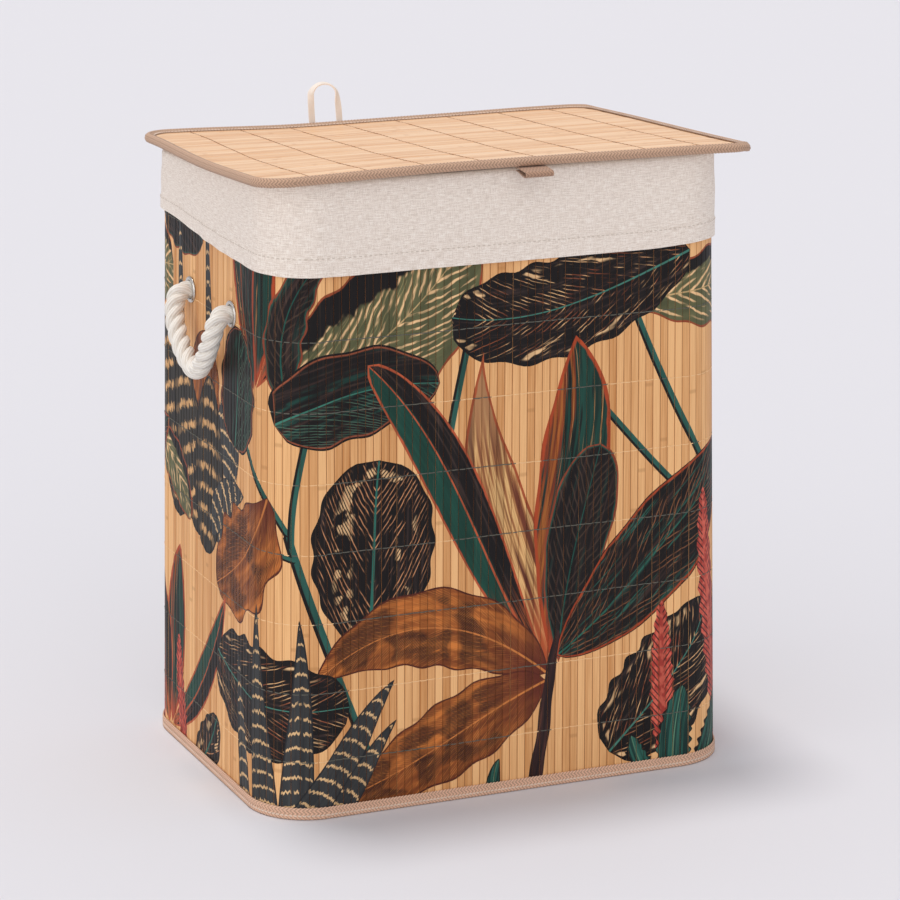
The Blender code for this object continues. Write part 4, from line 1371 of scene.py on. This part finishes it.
def build_handles():
    for name, side in SIDES.items():
        centre = rope_route(side)
        first, second = frames_along(centre)
        along = travel_along(centre)[:, None]
        snug = 0.86 + 0.14 * smooth(0.004, 0.012, np.minimum(along, along[-1] - along))
        angle = np.linspace(0, 2 * math.pi, 36, endpoint=False)
        yarns = np.sin(YARNS * angle - 2 * math.pi * along / YARN_PITCH)
        mesh = Collector()
        for strand in range(3):
            turn = 2 * math.pi * (along / ROPE_PITCH + strand / 3)
            reach = STRAND_OFFSET * snug * (first * np.cos(turn) + second * np.sin(turn))
            fuzz = waves(numbers(along, angle, strand), (500, 1.6, 1), 12)
            radius = (STRAND_RADIUS + 0.00008 * yarns + 0.00012 * fuzz) * snug
            mesh.tube(centre + reach, radius, len(angle))
        ends = [(side * 0.2045, HANDLE_Y, EYELET_Z + 0.002), (side * 0.2135, HANDLE_Y, 0.387)]
        obj = mesh.build(f"rope_{name}", [rope_paint(f"rope_cotton_{name}")], "cotton_rope",
                         ("basket", "handle_" + name, *ends), ["handle_rope_" + name])


def build_eyelets():
    """Rolled metal rings in the wall, each with its barrel."""
    metal = metal_paint("eyelet_metal")
    roll = [(0.0093 + 0.0017 * math.cos(a), 0.0002 + 0.0013 * max(math.sin(a), 0))
            for a in np.linspace(0, math.pi, 10)]
    radius, out = np.array([(0.0083, -0.0040), (0.0083, 0.0), (0.0110, 0.0), *roll,
                            (0.0075, -0.0006), (0.0075, -0.0040)]).T[:, :, None]
    angles = np.linspace(0, 2 * math.pi, 48, endpoint=False)
    for name, side in SIDES.items():
        x = side * (HALF_WIDTH + flare_at(EYELET_Z) + 0.0003 + out)
        for end, end_name in ((-1, "front"), (1, "rear")):
            y = HANDLE_Y + end * EYELET_HALF_SPACING + radius * np.cos(angles) * side
            points = numbers(x, y, EYELET_Z + radius * np.sin(angles))
            mesh = Collector().grid(points, points, wrap_rows=True, wrap_columns=True, even=True)
            mesh.build(f"eyelet_ring_{name}_{end_name}", [metal], "eyelet_metal", "basket",
                       [f"eyelet_{name}_{end_name}"], angle=40, settled=True)


def build_hidden_pieces():
    """The plain pieces behind the wall and in the rim, as in the CAD model, leaned with it."""
    taupe = plain_paint("rim_tape", (150, 122, 102), (190, 162, 140), 800.0)
    wire = metal_paint("steel_wire")
    backing = plain_paint("backing_weave", (188, 178, 162), (214, 206, 192), 700.0)
    board = plain_paint("board_fibre", (146, 122, 94), (176, 150, 118), 300.0)
    knots = plain_paint("knot_cotton", (206, 196, 180), (244, 240, 232), 420.0)
    looks = {"top_binding": (taupe, "woven_tape"), "rim_wire": (wire, "steel_wire"),
             "wall_backing": (backing, "backing_cloth"), "base_sheet": (backing, "backing_cloth"),
             "base_board": (board, "board")}
    for name in ("left_front", "left_rear", "right_front", "right_rear"):
        looks["eyelet_washer_" + name] = (wire, "eyelet_metal")
        looks["rope_knot_" + name] = (knots, "cotton_rope")
    for node, (material, slot) in looks.items():
        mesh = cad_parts[node].data.copy()
        mesh.vertices.foreach_set("co", settle([v.co for v in mesh.vertices]).ravel())
        mesh.materials.clear()
        mesh.materials.append(material)
        finish_piece(add_object("set_" + node, mesh), "basket", [node])
    loop = Loop(LID_HALF, LID_RADIUS, (60, 12, 44), LID_CENTRE_Y)
    ring = loop.ring(-WELT, LID_MID)
    mesh = Collector().tube(on_lid(np.concatenate((ring, ring[:1]))), 0.0015, 8)
    mesh.build("lid_edge_wire", [wire], "steel_wire", "lid", ["lid_wire"])


make_camera()
make_studio()
build_walls()
build_threads()
build_bottom_binding()
build_lid_slats()
build_lid_stitches()
build_lid_lining()
build_lid_binding()
build_pull_tab()
build_loop()
build_liner()
build_hinge_strip()
build_eyelets()
build_handles()
build_hidden_pieces()
